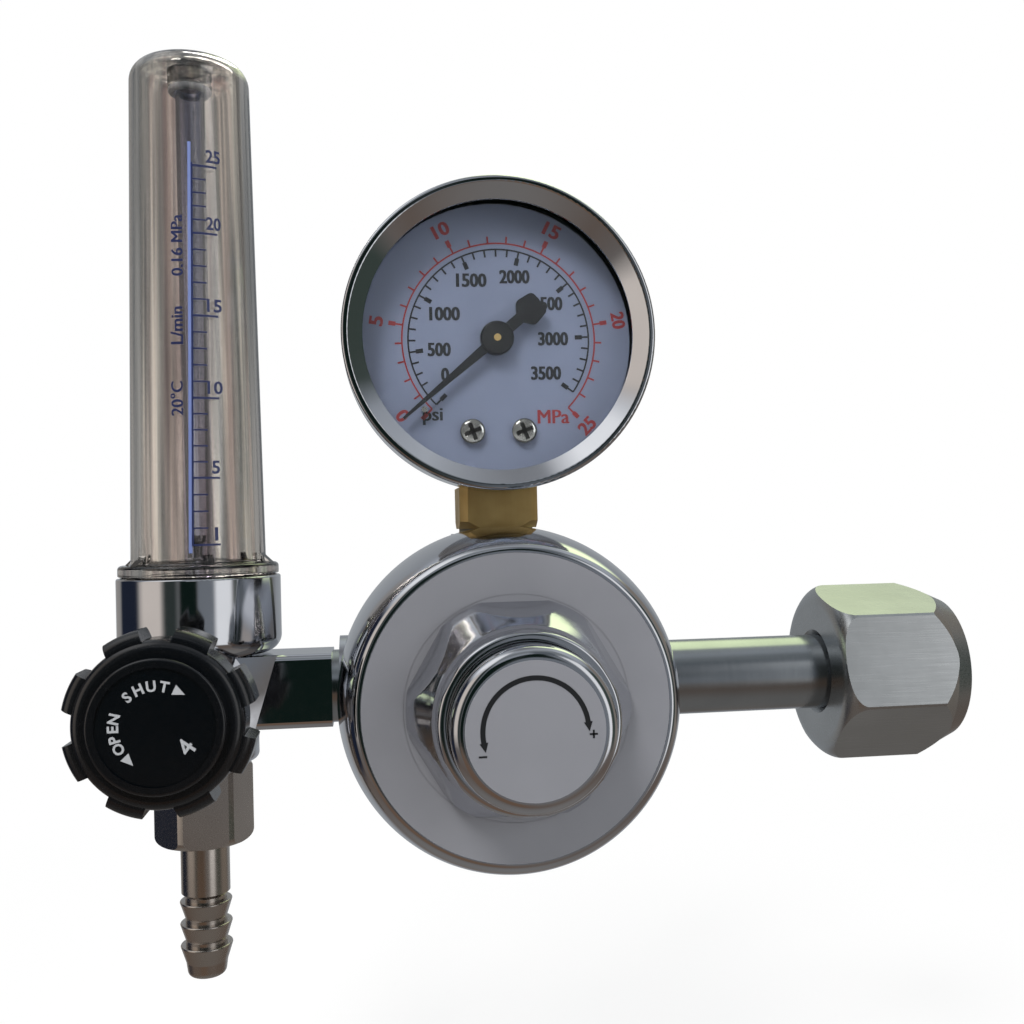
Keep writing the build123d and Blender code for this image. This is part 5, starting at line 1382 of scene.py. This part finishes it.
    def build_screw_heads(self, dresser: Dresser, face: float, centre: np.ndarray) -> None:
        """Make the domed faces of the dial's screws, with their crosses, on a grid of radius and angle.

        Args:
            dresser: Maker of the piece.
            face: Station of the heads' flat fronts.
            centre: Middle of the dial.
        """
        low, high = (np.array(corner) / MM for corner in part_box("dial_screws"))
        radius, angle = np.meshgrid(
            np.linspace(0.0, self.screw_radius, self.radial_steps)[1:],
            np.linspace(0, 2 * np.pi, self.round_steps, endpoint=False),
            indexing="ij",
        )
        height = self.head_height(radius * np.cos(angle), radius * np.sin(angle))
        u, v = radius * np.cos(angle + self.screw_turn), radius * np.sin(angle + self.screw_turn)
        rows, columns = radius.shape
        # The middle of the front, then the middle of the back.
        u, v = (np.concatenate([value.ravel(), [0.0, 0.0]]) for value in (u, v))
        height = np.concatenate([height.ravel(), [self.screw_dome - self.cross_depth, 0.0]])
        inner = np.arange(columns)
        outer = inner + (rows - 1) * columns
        front = [[rows * columns, here, there] for here, there in zip(inner, np.roll(inner, -1))]
        back = [[rows * columns + 1, there, here] for here, there in zip(outer, np.roll(outer, -1))]
        head = wrapped_faces(rows, columns).tolist() + front + back
        points, every = [], []
        for count, x in enumerate((centre[0] - self.screw_side, centre[0] + self.screw_side)):
            station = face - self.screw_proud - height
            points.append(np.stack([x + u, station, (low[2] + high[2]) / 2 + v], axis=-1))
            every += [[int(number) + count * len(u) for number in corner_numbers] for corner_numbers in head]
        dresser.piece(
            "dial_screw_faces",
            np.concatenate(points),
            every,
            SCREW_STEEL,
            "regulator",
            smooth=True,
        )

    def build_crosses(self, dresser: Dresser, face: float, centre: np.ndarray) -> None:
        """Paint shade on the floors of both screws' crosses: two dark strokes each, a painted shadow in each
        recess.

        Args:
            dresser: Maker of the pieces.
            face: Station of the heads' flat fronts.
            centre: Middle of the dial.
        """
        middle_z = middle("dial_screws")[2]
        floor = face - self.cross_floor_depth
        width = self.cross_width - self.cross_edge
        along = polar(self.cross_reach - self.cross_edge, np.degrees(self.screw_turn))
        for name, side in (("left", -1), ("right", 1)):
            plane = front_plane(centre[0] + side * self.screw_side, middle_z, floor)
            # A dark sheet just in front of the cross's floor: painted shade.
            cross = Drawing(plane, self.cross_floor_height)
            cross.line((-along[0], -along[1]), along, width)
            cross.line((along[1], -along[0]), (-along[1], along[0]), width)
            cross.finish(dresser, f"dial_screw_cross_shade_{name}", CROSS_PAINTED_SHADE, "regulator", "screw_steel")

    def build(self, dresser: Dresser) -> None:
        """Print both scales on the dial, cut the crosses of its screws and paint shade in them."""
        centre = middle("gauge_bezel")
        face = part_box("gauge_dial")[0][1] / MM
        plane = front_plane(centre[0] + self.print_shift, centre[2], face)
        red, black = Drawing(plane), Drawing(plane)
        self.print_red(red)
        red.finish(dresser, "dial_scale_red", RED_INK, "regulator", "dial_enamel")
        self.print_black(black)
        black.finish(dresser, "dial_scale_black", BLACK_INK, "regulator", "pointer_black")
        head_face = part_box("dial_screws")[0][1] / MM
        self.build_screw_heads(dresser, head_face, centre)
        self.build_crosses(dresser, head_face, centre)


@dataclass
class FlowTube(SubAssembly):
    """Clear cover with its scale, the metering tube and the float."""

    finishes: ClassVar = (
        (COVER_PLASTIC, ("flow_cover",)),
        (TUBE_PLASTIC, ("metering_tube",)),
        (RUBBER, ("cover_oring", "tube_seal_lower")),
        (SILICONE, ("tube_seal_upper",)),
        (SCREW_STEEL, ("flow_float",)),
    )

    foot_radius: float = 12.95
    foot_z: float = 26.4
    shoulder_radius: float = 11.5
    shoulder_z: float = 125.3
    print_radius: float = 12.4
    values: tuple[float, ...] = (1, 5, 10, 15, 20, 25)
    heights: tuple[float, ...] = (30.2, 42.8, 57.9, 73.5, 89.2, 102.1)
    # The upright line's azimuth at its foot in degrees, and its growth for each millimetre.
    line_azimuth: float = 4.2
    line_slope: float = 0.071
    line_width: float = 0.36
    line_below: float = 0.2
    line_above: float = 0.6
    line_steps: int = 12
    major: float = 4.9
    major_width: float = 0.4
    minor: float = 2.7
    minor_width: float = 0.28
    mark_steps: int = 6
    band_left: float = 0.42
    band_width: float = 0.62
    band_below: float = 1.5
    band_above: float = 4.5
    band_thickness: float = 0.03
    print_gap: float = 0.02
    number_left: float = 0.7
    number_up: float = 2.0
    number_height: float = 2.5
    number_weight: float = 0.02
    one_width: float = 0.6
    digit_width: float = 1.45
    # Words beside the line, with the height of their middle and of their letters.
    words: tuple[tuple[str, float, float], ...] = (
        ("0.16 MPa", 86.8, 2.2),
        ("L/min", 71.6, 2.3),
        ("20°C", 57.8, 2.3),
    )
    words_left: float = 2.85
    words_bold: float = 0.16

    def surface(self, x: float) -> Surface:
        """Give the cover's outer cone as a drawing surface.

        Args:
            x: X of the flow axis in millimetres.

        Returns:
            The function from u, v and w: the azimuth is u over the print's radius, counted from
            the viewer's side to the right, Z is v, and the cone's radius at that height grows by w.
        """

        def place(u: np.ndarray, v: np.ndarray, w: np.ndarray) -> np.ndarray:
            """Return X, Y and Z of points of the drawing."""
            share = (v - self.foot_z) / (self.shoulder_z - self.foot_z)
            cone = self.foot_radius + share * (self.shoulder_radius - self.foot_radius)
            radius, turn = cone + self.print_gap + w, u / self.print_radius
            return np.stack([x + radius * np.sin(turn), -radius * np.cos(turn), v], axis=-1)

        return place

    def line_u(self, z: float) -> float:
        """Return u of the scale's upright line at a height: it leans a little, as printed."""
        azimuth = self.line_azimuth + self.line_slope * (z - self.heights[0])
        return float(np.radians(azimuth)) * self.print_radius

    def upright(self, drawing: Drawing, below: float, above: float, left: float, width: float) -> None:
        """Draw a stroke along the upright line, or beside it.

        Args:
            drawing: Drawing that gets it.
            below: Length below the lowest mark.
            above: Length above the highest mark.
            left: Distance to the left of the line.
            width: Its width.
        """
        low, high = self.heights[0], self.heights[-1]
        start, end = (self.line_u(low) - left, low - below), (self.line_u(high) - left, high + above)
        drawing.line(start, end, width, None, self.line_steps)

    def build(self, dresser: Dresser) -> None:
        """Print the scale on the cover."""
        cone = self.surface(middle("hose_tail")[0])
        band = Drawing(cone, self.band_thickness)
        self.upright(band, self.band_below, self.band_above, self.band_left, self.band_width)
        band.finish(dresser, "cover_scale_band", PALE_BLUE_INK, "regulator", "pointer_black")
        drawing = Drawing(cone)
        self.upright(drawing, self.line_below, self.line_above, 0.0, self.line_width)
        for value in range(int(self.values[0]), int(self.values[-1]) + 1):
            z = float(np.interp(value, self.values, self.heights))
            start = self.line_u(z)
            if value not in self.values:
                drawing.line((start, z), (start + self.minor, z), self.minor_width, None, self.mark_steps)
                continue
            end = start + self.major
            drawing.line((start, z), (end, z), self.major_width, None, self.mark_steps)
            width = self.one_width if value == 1 else self.digit_width * len(str(value))
            place = (end - self.number_left, z + self.number_up)
            drawing.text(str(value), place, self.number_height, 0.0, self.number_weight, width)
        for words, z, size in self.words:
            place = (self.line_u(z) - self.words_left, z)
            drawing.text(words, place, size, 90.0, 0.0, None, self.words_bold)
        drawing.finish(dresser, "cover_scale_print", BLUE_INK, "regulator", "pointer_black")


@dataclass
class NeedleValve(SubAssembly):
    """Flow body, gland and knob."""

    finishes: ClassVar = (
        (CHROME, ("flow_body", "gland_nut")),
        (PIPE_NICKEL, ("arm_washer",)),
        (FIBRE, ("gland_packing",)),
        (SCREW_STEEL, ("needle_spindle", "knob_screw")),
        (KNOB, ("valve_knob",)),
        (KNOB_FACE, ("knob_label",)),
    )

    word_radius: float = 6.5
    letter_height: float = 1.75
    # Angles of the first and last letter of each word, and of each arrow's foot, in degrees.
    open_angles: tuple[float, float] = (209.0, 166.0)
    shut_angles: tuple[float, float] = (131.0, 77.0)
    open_arrow: float = 222.5
    shut_arrow: float = 63.5
    arrow_length: float = 1.9
    arrow_width: float = 1.7
    number_radius: float = 5.7
    number_angle: float = -36.0
    number_height: float = 2.9

    def build(self, dresser: Dresser) -> None:
        """Print the turning words, their arrows and the setting number on the knob's label."""
        centre = middle("knob_label")
        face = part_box("knob_label")[0][1] / MM
        drawing = Drawing(front_plane(centre[0], centre[2], face))
        drawing.ring_text("OPEN", self.word_radius, *self.open_angles, self.letter_height)
        drawing.ring_text("SHUT", self.word_radius, *self.shut_angles, self.letter_height)
        drawing.arrow(self.word_radius, self.shut_arrow, self.arrow_length, self.arrow_width, -1)
        drawing.arrow(self.word_radius, self.open_arrow, self.arrow_length, self.arrow_width, 1)
        place = polar(self.number_radius, self.number_angle)
        drawing.text("4", place, self.number_height, self.number_angle + 90.0)
        drawing.finish(dresser, "knob_print", WHITE_INK, "knob", "knob_face")


class Outlet(SubAssembly):
    """Outlet nut, its washer and the hose tail."""

    finishes: ClassVar = (
        (TAIL_NICKEL, ("outlet_nut", "hose_tail")),
        (FIBRE, ("outlet_washer",)),
    )


@dataclass(frozen=True)
class Panel:
    """Soft-edged panel of the tent, seen from the object. Angles are in degrees.

    Azimuth 0 is towards the viewer and 90 to the viewer's right; elevation is above the horizon.
    """

    left: float
    right: float
    low: float
    high: float
    colour: str
    strength: float = 1.0
    edge: float = 4.0


@dataclass(frozen=True)
class SoftBox:
    """Round lamp that looks at the object, with its place and size in millimetres."""

    name: str
    place: tuple[float, float, float]
    size: float
    watts: float
    colour: tuple[float, float, float]


@dataclass
class Studio:
    """Floor, tent, lamps, sky and camera."""

    floor_drop: float = 60.0
    floor_size: float = 6000.0
    floor_colour: str = "#F2F2F2"
    floor_roughness: float = 0.9
    shadow_reach: float = 420.0
    # The shadow is whole within the first share of that reach, and gone at the second one.
    shadow_shares: tuple[float, float] = (0.3, 1.0)
    shadow_strength: float = 0.28
    tent_radius: float = 1500.0
    tent_columns: int = 241
    tent_rows: int = 121
    boxes: tuple[SoftBox, ...] = (
        SoftBox("key_box", (-380, -560, 640), 260, 5.1, (1.0, 0.985, 0.96)),
        SoftBox("fill_box", (520, -620, 260), 480, 2.4, (0.95, 0.98, 1.0)),
        SoftBox("rim_box", (-60, 520, 620), 420, 3.5, (1.0, 1.0, 1.0)),
    )
    sky_colour: tuple[float, float, float, float] = (0.97, 0.985, 1.0, 1)
    sky_strength: float = 0.40
    turn: float = -7.0
    nod: float = 0.78
    roll: float = 1.4
    lens: float = 38.31
    sensor_width: float = 36.0
    clip_start: float = 10.0
    eye: tuple[float, float, float] = (-23.8, -222.7, 32.17)
    look: tuple[float, float, float] = (-90.0, 0.0, 30.0)
    # Tones of the tent from straight below to straight above: grey ground with a brown edge, then
    # grey cloth that gets paler with its height, and a grey crown.
    slope_angles: tuple[float, ...] = (-90, -60, -36, -10, 8, 32, 58, 90)
    slope_colours: tuple[str, ...] = (
        "#8A8886",
        "#85817D",
        "#75685F",
        "#7F7D7B",
        "#8E9093",
        "#AAAFB6",
        "#CDD2D8",
        "#7C7C7E",
    )
    panels: tuple[Panel, ...] = (
        Panel(140, 220, -40, 40, "#A4A8AC", 1.0, 14),
        Panel(-40, 56, 38, 62, "#8E9396", 1.0, 12),
        Panel(3, 27, -14, 22, "#84898F"),
        Panel(8, 30, 24, 48, "#6B7177"),
        Panel(-21, 3, -16, 26, "#14211D"),
        Panel(2, 15, 3, 28, "#14211D"),
        Panel(27, 52, -22, 34, "#FFFFFF", 1.15, 6),
        Panel(56, 84, -22, 32, "#454F49", 1.0, 10),
        Panel(88, 124, -22, 36, "#958C82", 1.0, 10),
        Panel(-80, -44, -16, 38, "#F2E6DA", 1.0, 12),
        Panel(-44, -24, -20, 40, "#3A413F", 1.0, 8),
        Panel(-124, -84, -32, 34, "#252B3A", 1.0, 8),
        Panel(-150, -126, -30, 36, "#A09C98", 1.0, 8),
        Panel(116, 180, 34, 74, "#F3FFCE", 2.0, 10),
        Panel(-34, 6, -40, -17, "#7C6554", 1.0, 6),
        Panel(-98, -36, 42, 72, "#FFFFFF", 1.3, 14),
    )

    def stage_piece(
        self, name: str, points: np.ndarray, faces: np.ndarray, material: bpy.types.Material
    ) -> bpy.types.Object:
        """Make a piece of the stage.

        Args:
            name: Name of the piece.
            points: Its points in millimetres, one row each.
            faces: Point numbers of each face.
            material: Its material.

        Returns:
            The piece's object.
        """
        mesh = bpy.data.meshes.new(name)
        mesh.from_pydata((points * MM).tolist(), [], faces.tolist())
        mesh.materials.append(material)
        made = bpy.data.objects.new(name, mesh)
        bpy.context.scene.collection.objects.link(made)
        made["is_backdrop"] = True
        return made

    def add_floor(self) -> None:
        """Lay a pale floor that looks white, with a faint shadow near the object only."""
        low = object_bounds()[0][2] / MM
        half = self.floor_size / 2
        square = np.array([(-half, -half), (half, -half), (half, half), (-half, half)])
        height = np.full((4, 1), low - self.floor_drop)
        points = np.concatenate([square + np.array([self.look[0], self.look[1]]), height], axis=1)
        material, tree = fresh_tree("pale_floor")
        path = node(tree, "ShaderNodeLightPath")
        place = node(tree, "ShaderNodeTexCoord")
        reach = 1.0 / (self.shadow_reach * MM)
        centre = node(
            tree,
            "ShaderNodeMapping",
            {"Location": (-self.look[0] * MM * reach, 0.0, 0.0), "Scale": (reach, reach, 0.0)},
            {"Vector": place.outputs["Object"]},
        )
        far = node(tree, "ShaderNodeVectorMath", {"operation": "LENGTH"}, {0: centre.outputs[0]})
        near, gone = self.shadow_shares
        fade = node(
            tree,
            "ShaderNodeMapRange",
            {"From Min": near, "From Max": gone, "To Min": 1.0 - self.shadow_strength, "To Max": 1.0},
            {"Value": far.outputs["Value"]},
        )
        factors = {0: path.outputs["Is Camera Ray"], 1: fade.outputs[0]}
        share = node(tree, "ShaderNodeMath", {"operation": "MULTIPLY"}, factors)
        cloth = {"Base Color": linear(self.floor_colour), "Roughness": self.floor_roughness}
        matt = node(tree, "ShaderNodeBsdfPrincipled", cloth)
        white = node(tree, "ShaderNodeEmission", {"Color": WHITE, "Strength": 1.0})
        links = {0: share.outputs[0], 1: matt.outputs[0], 2: white.outputs[0]}
        both = node(tree, "ShaderNodeMixShader", None, links)
        node(tree, "ShaderNodeOutputMaterial", None, {"Surface": both.outputs[0]})
        floor = self.stage_piece("floor", points, np.array([[0, 1, 2, 3]]), material)
        floor.visible_glossy = False

    def tent_tones(self, azimuth: np.ndarray, elevation: np.ndarray) -> np.ndarray:
        """Work out the tent's tones: the slope by elevation, then each panel over what lies under it.

        A panel's share is the product of four even ramps, one at each of its edges.

        Args:
            azimuth: Angles in degrees, from -180 to 180.
            elevation: Angles in degrees, from -90 to 90.

        Returns:
            Linear red, green and blue of each place.
        """
        slope = np.array([linear(colour)[:3] for colour in self.slope_colours])
        tone = np.stack([np.interp(elevation, self.slope_angles, slope[:, k]) for k in range(3)], axis=-1)
        for panel in self.panels:
            middle_angle, half = (panel.left + panel.right) / 2, (panel.right - panel.left) / 2
            off = np.abs((azimuth - middle_angle + 180.0) % 360.0 - 180.0)
            across = np.clip((half - off) / panel.edge + 0.5, 0.0, 1.0)
            above = np.clip((elevation - panel.low) / panel.edge + 0.5, 0.0, 1.0)
            below = np.clip((panel.high - elevation) / panel.edge + 0.5, 0.0, 1.0)
            share = (across * above * below)[..., None]
            tone = tone + share * (np.array(linear(panel.colour)[:3]) * panel.strength - tone)
        return tone

    def add_tent(self) -> None:
        """Hang a ball-shaped tent that only mirrors see.

        Its points are at a fixed distance, at each azimuth and elevation of a grid.
        """
        azimuth, elevation = np.meshgrid(
            np.linspace(-180, 180, self.tent_columns), np.linspace(-90, 90, self.tent_rows), indexing="ij"
        )
        a, e = np.radians(azimuth), np.radians(elevation)
        ball = np.stack([np.sin(a) * np.cos(e), -np.cos(a) * np.cos(e), np.sin(e)], axis=-1)
        points = (np.array(self.look) + self.tent_radius * ball).reshape(-1, 3)
        material, tree = fresh_tree("tent_cloth")
        tone = node(tree, "ShaderNodeAttribute", {"attribute_name": "tone"})
        glow = node(tree, "ShaderNodeEmission", {"Strength": 1.0}, {"Color": tone.outputs["Color"]})
        node(tree, "ShaderNodeOutputMaterial", None, {"Surface": glow.outputs[0]})
        tent = self.stage_piece("tent", points, grid_faces(self.tent_columns, self.tent_rows), material)
        tones = self.tent_tones(azimuth, elevation).reshape(-1, 3)
        layer = tent.data.attributes.new("tone", "FLOAT_COLOR", "POINT")
        layer.data.foreach_set("color", np.concatenate([tones, np.ones((len(tones), 1))], axis=1).ravel())
        for ray in ("camera", "diffuse", "shadow", "transmission", "volume_scatter"):
            setattr(tent, f"visible_{ray}", False)

    def add_lamps(self) -> None:
        """Place the soft boxes."""
        for box in self.boxes:
            lamp = bpy.data.lights.new(box.name, "AREA")
            lamp.shape = "DISK"
            lamp.size = box.size * MM
            lamp.energy = box.watts
            lamp.color = box.colour
            holder = bpy.data.objects.new(box.name, lamp)
            bpy.context.scene.collection.objects.link(holder)
            holder.visible_glossy = False
            place = np.array(box.place, float)
            holder.matrix_world = self.facing(place, np.array(self.look) - place)

    @staticmethod
    def facing(place: np.ndarray, way: np.ndarray) -> Matrix:
        """Return the matrix of a lamp at a place in millimetres, turned to look along a way."""
        forward = way / np.linalg.norm(way)
        right = np.cross(forward, [0.0, 0.0, 1.0])
        right /= np.linalg.norm(right)
        up = np.cross(right, forward)
        turn = np.eye(4)
        turn[:3, 0], turn[:3, 1], turn[:3, 2], turn[:3, 3] = right, up, -forward, place * MM
        return Matrix(turn.tolist())

    def add_sky(self) -> None:
        """Light the object evenly from a grey sky, and show white behind it.

        White is what the camera sees straight or through clear pieces. Light that has met a
        surface, and then leaves through a clear piece, finds the soft sky.
        """
        world = bpy.data.worlds.new("sky")
        bpy.context.scene.world = world
        world.use_nodes = True
        tree = world.node_tree
        tree.nodes.clear()
        path = node(tree, "ShaderNodeLightPath")
        depths = {0: path.outputs["Diffuse Depth"], 1: path.outputs["Glossy Depth"]}
        met = node(tree, "ShaderNodeMath", {"operation": "ADD"}, depths)
        straight = node(tree, "ShaderNodeMath", {"operation": "LESS_THAN", 1: 0.5}, {0: met.outputs[0]})
        factors = {0: straight.outputs[0], 1: path.outputs["Is Transmission Ray"]}
        through = node(tree, "ShaderNodeMath", {"operation": "MULTIPLY"}, factors)
        either = {0: path.outputs["Is Camera Ray"], 1: through.outputs[0]}
        seen = node(tree, "ShaderNodeMath", {"operation": "MAXIMUM"}, either)
        soft = node(tree, "ShaderNodeBackground", {"Color": self.sky_colour, "Strength": self.sky_strength})
        white = node(tree, "ShaderNodeBackground", {"Color": WHITE, "Strength": 1.0})
        links = {0: seen.outputs[0], 1: soft.outputs[0], 2: white.outputs[0]}
        both = node(tree, "ShaderNodeMixShader", None, links)
        node(tree, "ShaderNodeOutputWorld", None, {"Surface": both.outputs[0]})

    def add_camera(self) -> None:
        """Set the camera: turned about Z, then about X, then about Y, at its place by the body."""
        a, b, c = (np.radians(angle) for angle in (self.turn, self.nod, self.roll))
        about_z = np.array([[np.cos(a), -np.sin(a), 0], [np.sin(a), np.cos(a), 0], [0, 0, 1]])
        about_x = np.array([[1, 0, 0], [0, np.cos(b), -np.sin(b)], [0, np.sin(b), np.cos(b)]])
        about_y = np.array([[np.cos(c), 0, np.sin(c)], [0, 1, 0], [-np.sin(c), 0, np.cos(c)]])
        turn = about_z @ about_x @ about_y
        place = np.array(self.eye) + np.array([middle("cap_label")[0], 0.0, 0.0])
        whole = np.eye(4)
        whole[:3, 0], whole[:3, 1], whole[:3, 2] = turn[:, 0], turn[:, 2], -turn[:, 1]
        whole[:3, 3] = place * MM
        data = bpy.data.cameras.new("camera")
        data.lens = self.lens
        data.sensor_width = self.sensor_width
        data.clip_start = self.clip_start * MM
        camera = bpy.data.objects.new("camera", data)
        bpy.context.scene.collection.objects.link(camera)
        camera.matrix_world = Matrix(whole.tolist())
        bpy.context.scene.camera = camera

    def build(self) -> None:
        """Set up the whole studio."""
        self.add_floor()
        self.add_tent()
        self.add_lamps()
        self.add_sky()
        self.add_camera()
        bpy.context.scene.view_settings.view_transform = "Standard"


def corners() -> list[list[float]]:
    """Return the lowest and highest corner of what shows, as plain lists of metres."""
    return [[float(value) for value in corner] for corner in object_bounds()]


def main() -> None:
    """Load the frame, build and dress every sub-assembly, and set up the studio."""
    logging.basicConfig(level=logging.INFO, format="%(message)s")
    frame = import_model()
    dresser = Dresser(frame)
    for part in (InletUnion(), PressureStage(), Heater(), Gauge(), FlowTube(), NeedleValve(), Outlet()):
        LOG.info("sub-assembly %s", type(part).__name__)
        part.build(dresser)
        part.dress(dresser)
    Studio().build()


if __name__ == "__main__":
    main()
